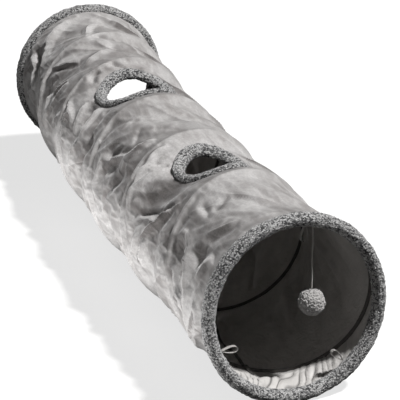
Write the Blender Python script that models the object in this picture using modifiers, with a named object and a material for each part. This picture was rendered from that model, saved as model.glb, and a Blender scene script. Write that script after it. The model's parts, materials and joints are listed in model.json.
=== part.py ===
"""A folding cat tunnel: a cloth tube held open by one spring of steel wire, at rest on the floor.

Metres, +Z up. The tunnel runs along +Y. The origin is the middle of the front rim's foot, on the floor.
Places on the tube are given by an angle, clockwise from the top as seen from the front, by a distance
along the tube from the front rim, and by a radius from the tube's centre line.
"""

import math

import bmesh
import bpy
from mathutils import Matrix, Vector

# The whole tunnel
TUNNEL_LENGTH = 1.328  # between the middles of the two rims
BEND = 0.031  # how far the middle of the tube lies off the straight line, to the left
FRONT_TURN_DEG = 5.5  # the front rim's right side lies back
FRONT_LEAN_DEG = 2.0  # the front rim's top lies back
REAR_TURN_DEG = -2.0
REAR_LEAN_DEG = -1.4
GAP = 0.0003  # between pieces that touch

# Rims of plush, folded over the end turns of the wire
RIM_DIAMETER = 0.300
RIM_THICKNESS = 0.022
RIM_WIDTH = 0.026
FOOT_DEPTH = 0.0015  # how far the plush is pressed flat where it stands
RIM_STEPS = 40
RIM_OUTLINE_POINTS = 11
RIM_SLACK = 0.0015  # between the cloth and the plush where it goes into a rim
CUTTER_OVERRUN = 0.02

# Cloth
TUBE_INSET = 0.0085  # from the rims' outside in to the cover's, on a turn of the wire
COVER_THICKNESS = 0.0012
LINING_THICKNESS = 0.0008
NARROWING = 0.001  # how much the tube narrows into each rim
NARROWING_LENGTH = 0.05
SAG = 0.0085  # how deep the cloth hangs in between two turns
SAG_FADE_LENGTH = 0.09  # beside each rim the cloth is drawn round
FOLD_SHARE = 0.38  # of the sag that the slanting folds add or take away
FOLDS = 5  # slanting folds round the tube
FOLD_SLANT = 2  # folds that one turn of the wire crosses
CLOTH_COLUMNS = 24
CLOTH_ROWS = 3  # between two turns of the wire

# Spring of steel wire, one length from rim to rim
WIRE_DIAMETER = 0.003
TURN_SHARES = (0.0, 0.180, 0.349, 0.512, 0.708, 0.858, 1.0)  # of the length, where turns cross the top
RING_CLEARANCE = 0.0008  # between the wire's end and the turn that it lies beside
FERRULE_LENGTH = 0.014
FERRULE_WALL = 0.0008
FERRULE_ARC_STEPS = 4

# Tape that holds the wire to the lining, and tape over the lining's lengthwise seam
CASING_WIDTH = 0.010
CASING_THICKNESS = 0.0008
CASING_LIFT = 0.0011  # its edges below the lining
CASING_FIRST_STEP = 4  # steps of the wire before the tape begins, clear of the rim
SEAM_COLUMN = 13  # the cloth's column that the seam runs along
SEAM_TAPE_WIDTH = 0.006
SEAM_TAPE_THICKNESS = 0.0008
SEAM_TAPE_LIFT = 0.0008
SEAM_TAPE_SLOPE = 0.0036  # the length in which it climbs over the casing

# Peek holes in the top, each with a ring of plush
PEEK_NEAR_WIDTH = 0.124  # amid the plush
PEEK_FAR_WIDTH = 0.150
PEEK_HOLES = (("near", 1, PEEK_NEAR_WIDTH), ("far", 3, PEEK_FAR_WIDTH))  # with the turn before each
PEEK_SAG = 0.029  # how much deeper the cut cloth hangs in at a peek hole
PEEK_SAG_WIDTH = 0.16
PEEK_FORWARD = 0.008  # how far the holes lie from the middle of their bays, to the front
PEEK_TRIM_WIDTH = 0.0215
PEEK_TRIM_HEIGHT = 0.018
PEEK_ANGLE_DEG = -3.0
PEEK_STEPS = 32
PEEK_TUBE_STEPS = 8
PEEK_PLUG_DEPTH = 0.05

# Hanging pompom
HANG_ANGLE_DEG = 15.5
TAB_LENGTH = 0.007
TAB_WIDTH = 0.005
TAB_OPENING = 0.004
RIBBON_THICKNESS = 0.0006
KNOT_DIAMETER = 0.005
STRING_DIAMETER = 0.0012
STRING_LENGTH = 0.099
STRING_POINTS = 12
POMPOM_DIAMETER = 0.042

# Ribbon loops on the front rim and ties on the rear one, which hold the folded tunnel shut
LOOP_ANGLES_DEG = (8.5, 140.0, 246.0)
LOOP_DROOPS_DEG = (0.0, -6.0, 22.0)  # how far each leans round the tunnel from pointing at its middle
LOOP_LENGTH = 0.025
LOOP_OPENING = 0.009
LOOP_ROOT = 0.001
RIBBON_WIDTH = 0.007
RIBBON_Y = 0.006  # in from the middle of the rim
RIBBON_CLEARANCE = 0.00015  # between its corners and the rim as it swings
LOOP_POINTS = 13
TIE_ANGLES_DEG = (-14.0, 113.0, 224.0)
TIE_DROOPS_DEG = (14.0, -50.0, -16.0)
TIE_LENGTH = 0.038
TIE_ROOT = 0.002
TIE_SPREAD = 0.030
TIE_POINTS = 5

# Worked out from the sizes above
TURNS = len(TURN_SHARES) - 1
RIM_RADIUS = RIM_DIAMETER / 2
TUBE_RADIUS = RIM_RADIUS - TUBE_INSET
AXIS_HEIGHT = RIM_RADIUS - FOOT_DEPTH
RING_STEP = WIRE_DIAMETER + RING_CLEARANCE
LINING_DEPTH = COVER_THICKNESS + GAP  # from the cover's outside to the lining's
INSIDE_DEPTH = LINING_DEPTH + LINING_THICKNESS  # to the lining's inside
WIRE_DEPTH = INSIDE_DEPTH + GAP + WIRE_DIAMETER / 2
FERRULE_HALF_HEIGHT = WIRE_DIAMETER / 2 + GAP + FERRULE_WALL
FERRULE_HALF_WIDTH = RING_STEP / 2 + FERRULE_HALF_HEIGHT
CLOTH_EDGE = FERRULE_HALF_WIDTH + GAP  # the cloth ends this far from the middle of a rim
HANG_Y = RIM_WIDTH / 2 + GAP + TAB_WIDTH / 2  # the string hangs just inside the front rim
FRONT_RIM_Y = RIM_RADIUS * math.sin(math.radians(FRONT_LEAN_DEG))
FULL_TURN = 2 * math.pi

COLOURS = {
    "plush": (0.205, 0.202, 0.200, 1.0),
    "suede": (0.420, 0.400, 0.385, 1.0),
    "lining": (0.340, 0.330, 0.320, 1.0),
    "steel": (0.300, 0.300, 0.310, 1.0),
    "tape": (0.030, 0.028, 0.028, 1.0),
    "ribbon": (0.520, 0.510, 0.500, 1.0),
    "string": (0.800, 0.790, 0.770, 1.0),
}


# Where things are on the tube


def station(y):
    """The tube's own frame at this distance along it: X across, Y along, Z up."""
    share = y / TUNNEL_LENGTH
    turn = math.radians(FRONT_TURN_DEG + (REAR_TURN_DEG - FRONT_TURN_DEG) * share)
    lean = math.radians(FRONT_LEAN_DEG + (REAR_LEAN_DEG - FRONT_LEAN_DEG) * share)
    centre = Vector((-4 * BEND * share * (1 - share), FRONT_RIM_Y + y, AXIS_HEIGHT))
    return Matrix.Translation(centre) @ Matrix.Rotation(turn, 4, "Z") @ Matrix.Rotation(-lean, 4, "X")


def place(angle, y, radius):
    return station(y) @ Vector((radius * math.sin(angle), 0, radius * math.cos(angle)))


def frame_at(angle, y, radius):
    """A frame on the tube: X clockwise round it, Y along it, Z outwards."""
    return station(y) @ Matrix.Rotation(angle, 4, "Y") @ Matrix.Translation((0, 0, radius))


def rim_distance(y):
    return max(0, min(y, TUNNEL_LENGTH - y))


def wire_y(turns):
    """How far along the tube the wire is after this many turns from the front ring."""
    if turns <= 0:
        return RING_STEP * (turns + 0.5)
    if turns >= TURNS:
        return TUNNEL_LENGTH + RING_STEP * (turns - TURNS - 0.5)
    at = [share * TUNNEL_LENGTH for share in TURN_SHARES]
    at[0] += RING_STEP / 2
    at[-1] -= RING_STEP / 2
    rise = [RING_STEP] + [(at[k + 1] - at[k - 1]) / 2 for k in range(1, TURNS)] + [RING_STEP]
    k = int(turns)
    u = turns - k
    return (
        (1 + 2 * u) * (1 - u) ** 2 * at[k]
        + u * (1 - u) ** 2 * rise[k]
        + u * u * (3 - 2 * u) * at[k + 1]
        - u * u * (1 - u) * rise[k + 1]
    )


def turn_radius(y):
    """The cover's outer radius where it lies on the wire."""
    return TUBE_RADIUS - NARROWING * max(0, 1 - rim_distance(y) / NARROWING_LENGTH)


def wire_radius(y):
    return turn_radius(y) - WIRE_DEPTH


def cover_radius(angle, turns):
    """The cover's outer radius at this angle, level with the wire after this many turns."""
    y = wire_y(turns)
    between = (turns - angle / FULL_TURN) % 1
    fade = min(1, rim_distance(y) / SAG_FADE_LENGTH)
    fold = math.cos(FOLDS * angle + FOLD_SLANT * FULL_TURN * turns)
    sag = SAG * fade * (1 + FOLD_SHARE * fold)
    for _, hole_angle, hole_y, _ in peek_places():
        across = TUBE_RADIUS * math.remainder(angle - hole_angle, FULL_TURN)
        sag += PEEK_SAG * math.exp(-4 * (across**2 + (y - hole_y) ** 2) / PEEK_SAG_WIDTH**2)
    return turn_radius(y) - sag * math.sin(math.pi * between)


def peek_places():
    """The name, middle and size of each peek hole, between two turns of the wire."""
    for name, turn_before, diameter in PEEK_HOLES:
        angle = math.radians(PEEK_ANGLE_DEG)
        turns = turn_before + angle / FULL_TURN
        yield name, angle, (wire_y(turns) + wire_y(turns + 1)) / 2 - PEEK_FORWARD, diameter


def turns_at(y):
    """How many turns the wire has made when it is this far along, by halving."""
    low, high = 0.0, float(TURNS)
    for _ in range(40):
        middle = (low + high) / 2
        low, high = (middle, high) if wire_y(middle) < y else (low, middle)
    return low


# Objects and their materials


def material(name):
    made = bpy.data.materials.get(name)
    if made is None:
        made = bpy.data.materials.new(name)
        made.use_nodes = True
        surface = made.node_tree.nodes["Principled BSDF"]
        surface.inputs["Base Color"].default_value = COLOURS[name]
        surface.inputs["Roughness"].default_value = 0.35 if name == "steel" else 0.9
        surface.inputs["Metallic"].default_value = 1.0 if name == "steel" else 0.0
        made.diffuse_color = COLOURS[name]
    return made


def clear_scene():
    for thing in list(bpy.data.objects):
        bpy.data.objects.remove(thing)


def collection(name):
    made = bpy.data.collections.new(name)
    bpy.context.scene.collection.children.link(made)
    return made


def add(name, data, finish, matrix=None):
    """A part made of a mesh or a curve."""
    thing = bpy.data.objects.new(name, data)
    data.materials.append(material(finish))
    thing.matrix_world = matrix or Matrix.Identity(4)
    PARTS.objects.link(thing)
    return thing


def add_cutter(name, mesh):
    thing = bpy.data.objects.new(name, mesh)
    thing.hide_render = True
    thing.display_type = "WIRE"
    CUTTERS.objects.link(thing)
    return thing


def cut(thing, cutter):
    modifier = thing.modifiers.new(cutter.name, "BOOLEAN")
    modifier.operation = "DIFFERENCE"
    modifier.object = cutter


def thicken(thing, thickness, offset=-1.0):
    modifier = thing.modifiers.new("thickness", "SOLIDIFY")
    modifier.thickness = thickness
    modifier.offset = offset
    modifier.use_even_offset = True


def mesh_of(name, shape):
    """Turns an edited bmesh into a smooth-shaded mesh."""
    bmesh.ops.recalc_face_normals(shape, faces=shape.faces)
    mesh = bpy.data.meshes.new(name)
    shape.to_mesh(mesh)
    shape.free()
    mesh.shade_smooth()
    return mesh


def face_outwards(mesh):
    """An open sheet round the tube gets its normals pointing away from the centre line."""
    outwards = 0.0
    for face in mesh.polygons:
        away = face.center - Vector((0, 0, AXIS_HEIGHT))
        outwards += face.normal.x * away.x + face.normal.z * away.z
    if outwards < 0:
        mesh.flip_normals()


def tube_curve(name, points, diameter):
    """A round wire or string through these points."""
    data = bpy.data.curves.new(name, "CURVE")
    data.dimensions = "3D"
    data.bevel_depth = diameter / 2
    data.bevel_resolution = 1
    data.use_fill_caps = True
    spline = data.splines.new("POLY")
    spline.points.add(len(points[1:]))
    for point, place_of in zip(spline.points, points):
        point.co = (*place_of, 1)
    return data


def ribbon_curve(name, outline, width):
    """A flat ribbon on edge, bent along a 2D outline and this wide across it."""
    data = bpy.data.curves.new(name, "CURVE")
    data.dimensions = "2D"
    data.fill_mode = "NONE"
    data.extrude = width / 2
    spline = data.splines.new("POLY")
    spline.points.add(len(outline[1:]))
    for point, (x, y) in zip(spline.points, outline):
        point.co = (x, y, 0, 1)
    return data


# Cloth


def sheet(name, columns, rows, spot):
    """An open sheet from a grid, with each corner moved to spot(column, row)."""
    shape = bmesh.new()
    bmesh.ops.create_grid(shape, x_segments=columns, y_segments=rows, size=1.0)
    for corner in shape.verts:
        column = round((corner.co.x + 1) / 2 * columns)
        row = round((corner.co.y + 1) / 2 * rows)
        corner.co = spot(column, row)
    bmesh.ops.remove_doubles(shape, verts=shape.verts, dist=GAP / 10)
    bmesh.ops.dissolve_degenerate(shape, edges=shape.edges, dist=GAP / 10)
    bmesh.ops.triangulate(shape, faces=shape.faces, quad_method="FIXED")
    return mesh_of(name, shape)


def tube_sheet(name, depth):
    """A cloth tube this far below the cover's outside. Its rows wind with the wire, and end at the rims."""

    def spot(column, row):
        angle = FULL_TURN * column / CLOTH_COLUMNS
        turns = max(0, min(TURNS, row / CLOTH_ROWS + angle / FULL_TURN - 1))
        y = max(CLOTH_EDGE, min(TUNNEL_LENGTH - CLOTH_EDGE, wire_y(turns)))
        return place(angle, y, cover_radius(angle, turns_at(y)) - depth)

    mesh = sheet(name, CLOTH_COLUMNS, CLOTH_ROWS * (TURNS + 1), spot)
    face_outwards(mesh)
    return mesh


def wrapped(mesh, angle, y):
    """Lays a flat shape on the cover, round this place: X goes round the tube, Y along it, Z outwards."""
    for corner in mesh.vertices:
        across, along, out = corner.co
        here = angle + across / TUBE_RADIUS
        there = y + along
        corner.co = place(here, there, cover_radius(here, turns_at(there)) + out)


def ring_mesh(name, diameter, width, height):
    """A flat ring, with a section this wide and this high."""
    bpy.ops.mesh.primitive_torus_add(
        major_segments=PEEK_STEPS,
        minor_segments=PEEK_TUBE_STEPS,
        major_radius=diameter / 2,
        minor_radius=width / 2,
    )
    made = bpy.context.object
    mesh = made.data
    mesh.name = name
    bpy.data.objects.remove(made)
    for corner in mesh.vertices:
        corner.co.z *= height / width
    mesh.shade_smooth()
    return mesh


def plug_mesh(name, diameter, depth):
    """A round plug that opens the cloth within a ring."""
    shape = bmesh.new()
    radius = diameter / 2
    bmesh.ops.create_cone(
        shape, segments=PEEK_STEPS, cap_ends=True, cap_tris=True, radius1=radius, radius2=radius, depth=depth
    )
    return mesh_of(name, shape)


def make_cloth():
    cover = add("cover", tube_sheet("cover", 0), "suede")
    thicken(cover, COVER_THICKNESS)
    lining = add("lining", tube_sheet("lining", LINING_DEPTH), "lining")
    thicken(lining, LINING_THICKNESS)
    for name, angle, y, diameter in peek_places():
        trim = ring_mesh(f"peek_trim_{name}", diameter, PEEK_TRIM_WIDTH, PEEK_TRIM_HEIGHT)
        wrapped(trim, angle, y)
        add(trim.name, trim, "plush")
        seat = ring_mesh(
            f"peek_seat_{name}", diameter, PEEK_TRIM_WIDTH + 2 * GAP, PEEK_TRIM_HEIGHT + 2 * GAP
        )
        plug = plug_mesh(f"peek_plug_{name}", diameter, PEEK_PLUG_DEPTH)
        for cutter_mesh in (seat, plug):
            wrapped(cutter_mesh, angle, y)
            cutter = add_cutter(cutter_mesh.name, cutter_mesh)
            cut(cover, cutter)
            cut(lining, cutter)


# Spring wire and what holds it


def wire_points():
    """The wire's middle: an end ring, the open turns, and the other end ring."""
    steps = CLOTH_COLUMNS
    for step in range(-steps - 1, steps * (TURNS + 1) + 2):
        turns = step / steps
        y = wire_y(turns)
        yield place(FULL_TURN * turns, y, wire_radius(y))


def least_gap(points, diameter):
    """The least gap between turns of a tube, measured on points that are half a turn or more apart."""
    apart = CLOTH_COLUMNS // 2
    return min(
        (a - b).length for i, a in enumerate(points) for b in points[i + apart :]
    ) - diameter


def stadium(half_width, half_height):
    """A closed outline with two straight sides and round ends."""
    flat = half_width - half_height
    for side, start in ((1, -math.pi / 2), (-1, math.pi / 2)):
        for step in range(FERRULE_ARC_STEPS + 1):
            turn = start + math.pi * step / FERRULE_ARC_STEPS
            yield side * flat + half_height * math.cos(turn), half_height * math.sin(turn)


def make_ferrule(name, turns):
    """A flat sleeve crimped over the wire's end and the turn beside it."""
    data = bpy.data.curves.new(name, "CURVE")
    data.dimensions = "2D"
    data.fill_mode = "BOTH"
    data.extrude = FERRULE_LENGTH / 2
    for inset in (0, FERRULE_WALL):
        outline = list(stadium(FERRULE_HALF_WIDTH - inset, FERRULE_HALF_HEIGHT - inset))
        spline = data.splines.new("POLY")
        spline.points.add(len(outline[1:]))
        spline.use_cyclic_u = True
        for point, (x, y) in zip(spline.points, outline):
            point.co = (x, y, 0, 1)
    y = wire_y(turns) + math.copysign(RING_STEP / 2, TUNNEL_LENGTH / 2 - wire_y(turns))
    chord = wire_radius(y) * math.cos(math.pi / CLOTH_COLUMNS)
    across = Matrix(((0, 0, 1), (1, 0, 0), (0, 1, 0))).to_4x4()
    add(name, data, "steel", frame_at(FULL_TURN * turns, y, chord) @ across)


def make_wire():
    points = list(wire_points())
    add("spring_wire", tube_curve("spring_wire", points, WIRE_DIAMETER), "steel")
    print(f"least gap between the wire's turns {1000 * least_gap(points, WIRE_DIAMETER):.2f} mm")
    half_step = 0.5 / CLOTH_COLUMNS
    make_ferrule("wire_ferrule_front", -1 - half_step)
    make_ferrule("wire_ferrule_rear", TURNS + 1 + half_step)


def casing_outline():
    """The casing's section, as pairs of a place across it and a depth below the lining."""
    edge = CASING_WIDTH / 2
    shoulder = WIRE_DIAMETER / 2 + GAP
    full = WIRE_DIAMETER + 2 * GAP
    return ((-edge, CASING_LIFT), (-shoulder, full), (shoulder, full), (edge, CASING_LIFT))


def inside_radius(angle, y):
    return cover_radius(angle, turns_at(y)) - INSIDE_DEPTH


def make_casing():
    """The tape that is sewn to the lining over the wire, from rim to rim."""
    outline = casing_outline()
    steps = TURNS * CLOTH_COLUMNS - 2 * CASING_FIRST_STEP

    def spot(column, row):
        turns = (row + CASING_FIRST_STEP) / CLOTH_COLUMNS
        across, depth = outline[column]
        angle = FULL_TURN * turns
        y = wire_y(turns)
        lining_y = y + across if depth == CASING_LIFT else y
        return place(angle, y + across, inside_radius(angle, lining_y) - depth)

    mesh = sheet("wire_casing", len(outline) - 1, steps, spot)
    face_outwards(mesh)
    thicken(add("wire_casing", mesh, "tape"), CASING_THICKNESS)


def seam_stops(angle):
    """The seam tape's places along the tube and its depths below the lining: it climbs over each turn."""
    under_edge = CASING_LIFT + CASING_THICKNESS + SEAM_TAPE_LIFT
    under_wire = WIRE_DIAMETER + CASING_THICKNESS + SEAM_TAPE_LIFT + 2 * GAP
    shoulder = WIRE_DIAMETER / 2 + SEAM_TAPE_SLOPE / 2
    edge = CASING_WIDTH / 2 + SEAM_TAPE_SLOPE / 2
    climb = ((edge + SEAM_TAPE_SLOPE, SEAM_TAPE_LIFT), (edge, under_edge), (shoulder, under_wire))
    start = RIM_WIDTH / 2 + GAP
    stops = [(start, SEAM_TAPE_LIFT)]
    for row in range(1 - CLOTH_ROWS, TURNS * CLOTH_ROWS):
        y = wire_y(row / CLOTH_ROWS + angle / FULL_TURN)
        if row % CLOTH_ROWS:
            stops.append((y, SEAM_TAPE_LIFT))
            continue
        stops += [(y - away, depth) for away, depth in climb]
        stops += [(y + away, depth) for away, depth in reversed(climb)]
    end = TUNNEL_LENGTH - start
    return stops[:1] + [stop for stop in stops if start < stop[0] < end] + [(end, SEAM_TAPE_LIFT)]


def make_seam_tape():
    angle = FULL_TURN * SEAM_COLUMN / CLOTH_COLUMNS
    stops = seam_stops(angle)

    def spot(column, row):
        y, depth = stops[row]
        side = (column - 0.5) * SEAM_TAPE_WIDTH / TUBE_RADIUS
        return place(angle + side, y, inside_radius(angle, y) - depth)

    mesh = sheet("seam_tape", 1, len(stops) - 1, spot)
    face_outwards(mesh)
    thicken(add("seam_tape", mesh, "tape"), SEAM_TAPE_THICKNESS)


# Rims


def rim_outline():
    """The rim's section: an oval, open at the back, round the wire's end ring and the cloth's edge."""
    middle = RIM_RADIUS - RIM_THICKNESS / 2
    ring = wire_radius(0)
    chord_loss = ring * (1 - math.cos(math.pi / CLOTH_COLUMNS))
    inner = ring - FERRULE_HALF_HEIGHT - chord_loss - GAP
    outer = turn_radius(0) / math.cos(math.pi / RIM_STEPS) + RIM_SLACK
    front = -FERRULE_HALF_WIDTH - GAP
    first = math.asin((outer - middle) / (RIM_THICKNESS / 2))
    last = math.asin((middle - inner) / (RIM_THICKNESS / 2))
    span = FULL_TURN - first - last
    points = []
    for step in range(RIM_OUTLINE_POINTS):
        turn = first + span * step / (RIM_OUTLINE_POINTS - 1)
        points.append((middle + RIM_THICKNESS / 2 * math.sin(turn), RIM_WIDTH / 2 * math.cos(turn)))
    return points + [(inner, front), (outer, front)]


def floor_cutter():
    """Everything below the floor, where the plush is pressed flat."""
    shape = bmesh.new()
    bmesh.ops.create_cube(shape, size=1.0)
    size = Vector((RIM_DIAMETER, TUNNEL_LENGTH + RIM_DIAMETER, CUTTER_OVERRUN))
    for corner in shape.verts:
        corner.co = Vector(a * b for a, b in zip(corner.co, size))
        corner.co += Vector((0, TUNNEL_LENGTH / 2, -CUTTER_OVERRUN / 2))
    return add_cutter("floor", mesh_of("floor", shape))


def make_rim(name, y, inwards):
    """A ring of plush, turned about the tube's centre line. Its open side faces inwards along the tube."""
    shape = bmesh.new()
    outline = [shape.verts.new((radius, 0, -inwards * along)) for radius, along in rim_outline()]
    for a, b in zip(outline, outline[1:] + outline[:1]):
        shape.edges.new((a, b))
    mesh = bpy.data.meshes.new(name)
    shape.to_mesh(mesh)
    shape.free()
    rim = add(name, mesh, "plush", station(y) @ Matrix.Rotation(math.pi / 2, 4, "X"))
    turned = rim.modifiers.new("turned", "SCREW")
    turned.steps = RIM_STEPS
    turned.render_steps = RIM_STEPS
    turned.use_merge_vertices = True
    turned.merge_threshold = GAP / 10
    turned.use_normal_flip = inwards < 0
    return rim


def make_rims():
    floor = floor_cutter()
    for name, y, inwards in (("front_rim_trim", 0, 1), ("rear_rim_trim", TUNNEL_LENGTH, -1)):
        cut(make_rim(name, y, inwards), floor)


# Pompom on its string


def hang_point():
    """Where the string turns: the middle of its knot, under the tab."""
    angle = math.radians(HANG_ANGLE_DEG)
    drop = TAB_LENGTH + GAP + KNOT_DIAMETER / 2 + (TAB_OPENING + 2 * RIBBON_THICKNESS) * math.sin(angle)
    root = place(angle, HANG_Y, inside_radius(angle, HANG_Y) * math.cos(math.pi / CLOTH_COLUMNS) - GAP)
    return root - Vector((0, 0, drop))


def ball(name, diameter, at, finish, detail):
    shape = bmesh.new()
    bmesh.ops.create_icosphere(shape, subdivisions=detail, radius=diameter / 2)
    add(name, mesh_of(name, shape), finish, Matrix.Translation(at))


def make_tab(pivot):
    """A folded ribbon tab, sewn to the lining, that the string is knotted through."""
    half = TAB_OPENING / 2
    outline = ((-half, TAB_LENGTH), (-half, half), (0, 0), (half, half), (half, TAB_LENGTH))
    stand = Matrix.Translation(pivot + Vector((0, 0, KNOT_DIAMETER / 2 + GAP)))
    upright = Matrix.Rotation(math.pi / 2, 4, "X")
    tab = add("hang_tab", ribbon_curve("hang_tab", outline, TAB_WIDTH), "ribbon", stand @ upright)
    thicken(tab, RIBBON_THICKNESS, 1.0)


def make_pompom():
    pivot = hang_point()
    make_tab(pivot)
    ball("string_knot", KNOT_DIAMETER, pivot, "string", 1)
    top = pivot - Vector((0, 0, KNOT_DIAMETER / 2 + GAP))
    points = [
        top - Vector((0, 0, STRING_LENGTH * step / (STRING_POINTS - 1))) for step in range(STRING_POINTS)
    ]
    add("ball_string", tube_curve("ball_string", points, STRING_DIAMETER), "string")
    middle = points[-1] - Vector((0, 0, POMPOM_DIAMETER / 2 + GAP))
    ball("pompom", POMPOM_DIAMETER, middle, "plush", 3)


# Ribbons


def loop_outline():
    """A loop of ribbon, from its root at the rim out to its tip and back."""
    for step in range(LOOP_POINTS):
        share = step / (LOOP_POINTS - 1)
        side = LOOP_ROOT / 2 * math.cos(math.pi * share) + LOOP_OPENING / 2 * math.sin(FULL_TURN * share)
        yield side, -LOOP_LENGTH * math.sin(math.pi * share)


def tie_outline():
    """A ribbon sewn on at its middle, with two tails that spread."""
    tail = []
    for step in range(TIE_POINTS):
        share = step / (TIE_POINTS - 1)
        side = TIE_ROOT / 2 + (TIE_SPREAD - TIE_ROOT) / 2 * share**2
        tail.append((side, -TIE_LENGTH * share))
    return [(-side, along) for side, along in reversed(tail)] + tail


def rim_inside(along, angle):
    """The radius of a rim's inner side, this far from its middle along the tube and at this angle."""
    middle = RIM_RADIUS - RIM_THICKNESS / 2
    side = [(reach, radius) for radius, reach in rim_outline()[:-2] if radius < middle]
    for (reach_a, radius_a), (reach_b, radius_b) in zip(side, side[1:]):
        if reach_a <= along < reach_b:
            radius = radius_a + (radius_b - radius_a) * (along - reach_a) / (reach_b - reach_a)
    facet = FULL_TURN / RIM_STEPS
    return radius * math.cos(facet / 2) / math.cos(angle % facet - facet / 2)


def ribbon_root(angle, y, root):
    """Where a ribbon turns, below the inner side of a rim: its corners stay clear as it swings."""
    swing = math.hypot((root + RIBBON_THICKNESS) / 2, RIBBON_THICKNESS / 2) + RIBBON_CLEARANCE
    return frame_at(angle, y, rim_inside(RIBBON_Y - RIBBON_WIDTH / 2, angle) - swing)


def loop_root(number):
    return ribbon_root(math.radians(LOOP_ANGLES_DEG[number]), RIBBON_Y, LOOP_ROOT)


def tie_root(number):
    return ribbon_root(math.radians(TIE_ANGLES_DEG[number]), TUNNEL_LENGTH - RIBBON_Y, TIE_ROOT)


def make_ribbon(name, outline, root, droop_deg):
    """A ribbon on the inner side of a rim, bent across the tunnel and with its width along it."""
    droop = Matrix.Rotation(math.radians(droop_deg), 4, "Y")
    across = Matrix.Rotation(math.pi / 2, 4, "X")
    ribbon = add(name, ribbon_curve(name, list(outline), RIBBON_WIDTH), "ribbon", root @ droop @ across)
    thicken(ribbon, RIBBON_THICKNESS, 0.0)


def make_ribbons():
    for number, droop in enumerate(LOOP_DROOPS_DEG):
        make_ribbon(f"front_loop_{number + 1}", loop_outline(), loop_root(number), droop)
    for number, droop in enumerate(TIE_DROOPS_DEG):
        make_ribbon(f"rear_tie_{number + 1}", tie_outline(), tie_root(number), droop)


def main():
    make_cloth()
    make_wire()
    make_casing()
    make_seam_tape()
    make_rims()
    make_pompom()
    make_ribbons()


clear_scene()
PARTS = collection("Cat tunnel")
CUTTERS = collection("Cutters")
main()
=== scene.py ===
"""Dresses the folding cat tunnel: creased suede over a spring of wire, plush rims, a pompom and ribbons.

Metres, +Z up. The tunnel runs along +Y and stands on the floor. Places on the tube are given by an angle,
clockwise from the top as seen from the front, by a distance along it and by a radius.
"""

import json
import math

import bpy
import numpy as np
from mathutils import Matrix, Vector, kdtree


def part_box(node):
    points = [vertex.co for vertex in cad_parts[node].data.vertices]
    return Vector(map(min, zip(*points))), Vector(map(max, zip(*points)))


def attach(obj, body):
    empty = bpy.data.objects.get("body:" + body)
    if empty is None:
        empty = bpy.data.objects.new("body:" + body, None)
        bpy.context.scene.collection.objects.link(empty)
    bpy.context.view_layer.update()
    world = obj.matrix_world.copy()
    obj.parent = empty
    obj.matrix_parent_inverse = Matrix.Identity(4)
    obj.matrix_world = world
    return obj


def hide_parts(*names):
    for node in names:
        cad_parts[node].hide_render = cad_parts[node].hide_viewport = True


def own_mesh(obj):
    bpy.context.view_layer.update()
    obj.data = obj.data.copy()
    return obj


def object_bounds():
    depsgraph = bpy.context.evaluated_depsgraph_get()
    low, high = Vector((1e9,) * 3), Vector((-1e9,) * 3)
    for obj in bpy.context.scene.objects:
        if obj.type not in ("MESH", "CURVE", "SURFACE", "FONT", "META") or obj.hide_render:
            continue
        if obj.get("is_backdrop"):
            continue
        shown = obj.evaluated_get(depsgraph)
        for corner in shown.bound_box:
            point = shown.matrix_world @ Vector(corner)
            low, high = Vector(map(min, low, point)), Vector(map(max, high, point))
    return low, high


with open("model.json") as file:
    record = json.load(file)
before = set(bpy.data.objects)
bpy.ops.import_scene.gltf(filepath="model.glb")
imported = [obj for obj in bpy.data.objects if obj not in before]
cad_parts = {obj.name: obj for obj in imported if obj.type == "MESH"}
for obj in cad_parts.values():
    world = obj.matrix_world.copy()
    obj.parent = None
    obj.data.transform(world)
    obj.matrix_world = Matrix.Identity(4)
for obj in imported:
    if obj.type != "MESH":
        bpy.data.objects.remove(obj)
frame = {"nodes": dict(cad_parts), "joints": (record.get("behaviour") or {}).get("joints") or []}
CAD_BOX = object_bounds()

bl_info = {
    "name": "Cat tunnel",
    "version": (1, 0, 0),
    "blender": (4, 5, 0),
    "location": "View3D > Sidebar > Cat tunnel",
    "description": "Builds the cloth, plush, wire and ribbons of a folding cat tunnel",
    "category": "Object",
}

# The tube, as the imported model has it
TUNNEL_LENGTH = 1.328
BEND = 0.031
FRONT_TURN_DEG = 5.5
FRONT_LEAN_DEG = 2.0
REAR_TURN_DEG = -2.0
REAR_LEAN_DEG = -1.4
RIM_RADIUS = 0.150
RIM_THICKNESS = 0.022
RIM_WIDTH = 0.026
FOOT_DEPTH = 0.0015
TUBE_RADIUS = 0.1415
NARROWING = 0.001
NARROWING_LENGTH = 0.05
SAG = 0.0085
SAG_FADE_LENGTH = 0.09
FOLD_SHARE = 0.38
FOLDS = 5
FOLD_SLANT = 2
AXIS_HEIGHT = RIM_RADIUS - FOOT_DEPTH
FRONT_RIM_Y = RIM_RADIUS * math.sin(math.radians(FRONT_LEAN_DEG))
FULL_TURN = 2 * math.pi
CLOTH_EDGE = 0.0048  # the cloth ends this far from the middle of a rim
RIM_HALF = RIM_WIDTH / 2
GAP = 0.0003

# The wire and what holds it
WIRE_DIAMETER = 0.003
WIRE_DEPTH = 0.0041  # its middle, below the cover's outside
RING_STEP = 0.0038
TURN_SHARES = (0.0, 0.180, 0.349, 0.512, 0.708, 0.858, 1.0)
TURNS = len(TURN_SHARES) - 1
WIRE_STEPS = 96  # in one turn
LINING_DEPTH = 0.0018
TAPE_DEPTH = LINING_DEPTH + 0.0009
TAPE_THICKNESS = 0.0008
CASING_WIDTH = 0.010
CASING_START = 1 / 6  # of a turn
CASING_ROWS = (-1.0, -0.75, -0.42, -0.22, 0.0, 0.22, 0.42, 0.75, 1.0)  # shares of its half width
CASING_HUMP = 0.0028
CASING_HUMP_REACH = 0.42  # share of its half width
SEAM_ANGLE = FULL_TURN * 13 / 24
SEAM_TAPE_WIDTH = 0.006
SEAM_TAPE_ROWS = (-0.5, -0.25, 0.0, 0.25, 0.5)
SEAM_TAPE_STEPS = 700
SEAM_CLIMB = 0.0042  # how far it rises over the casing
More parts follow.
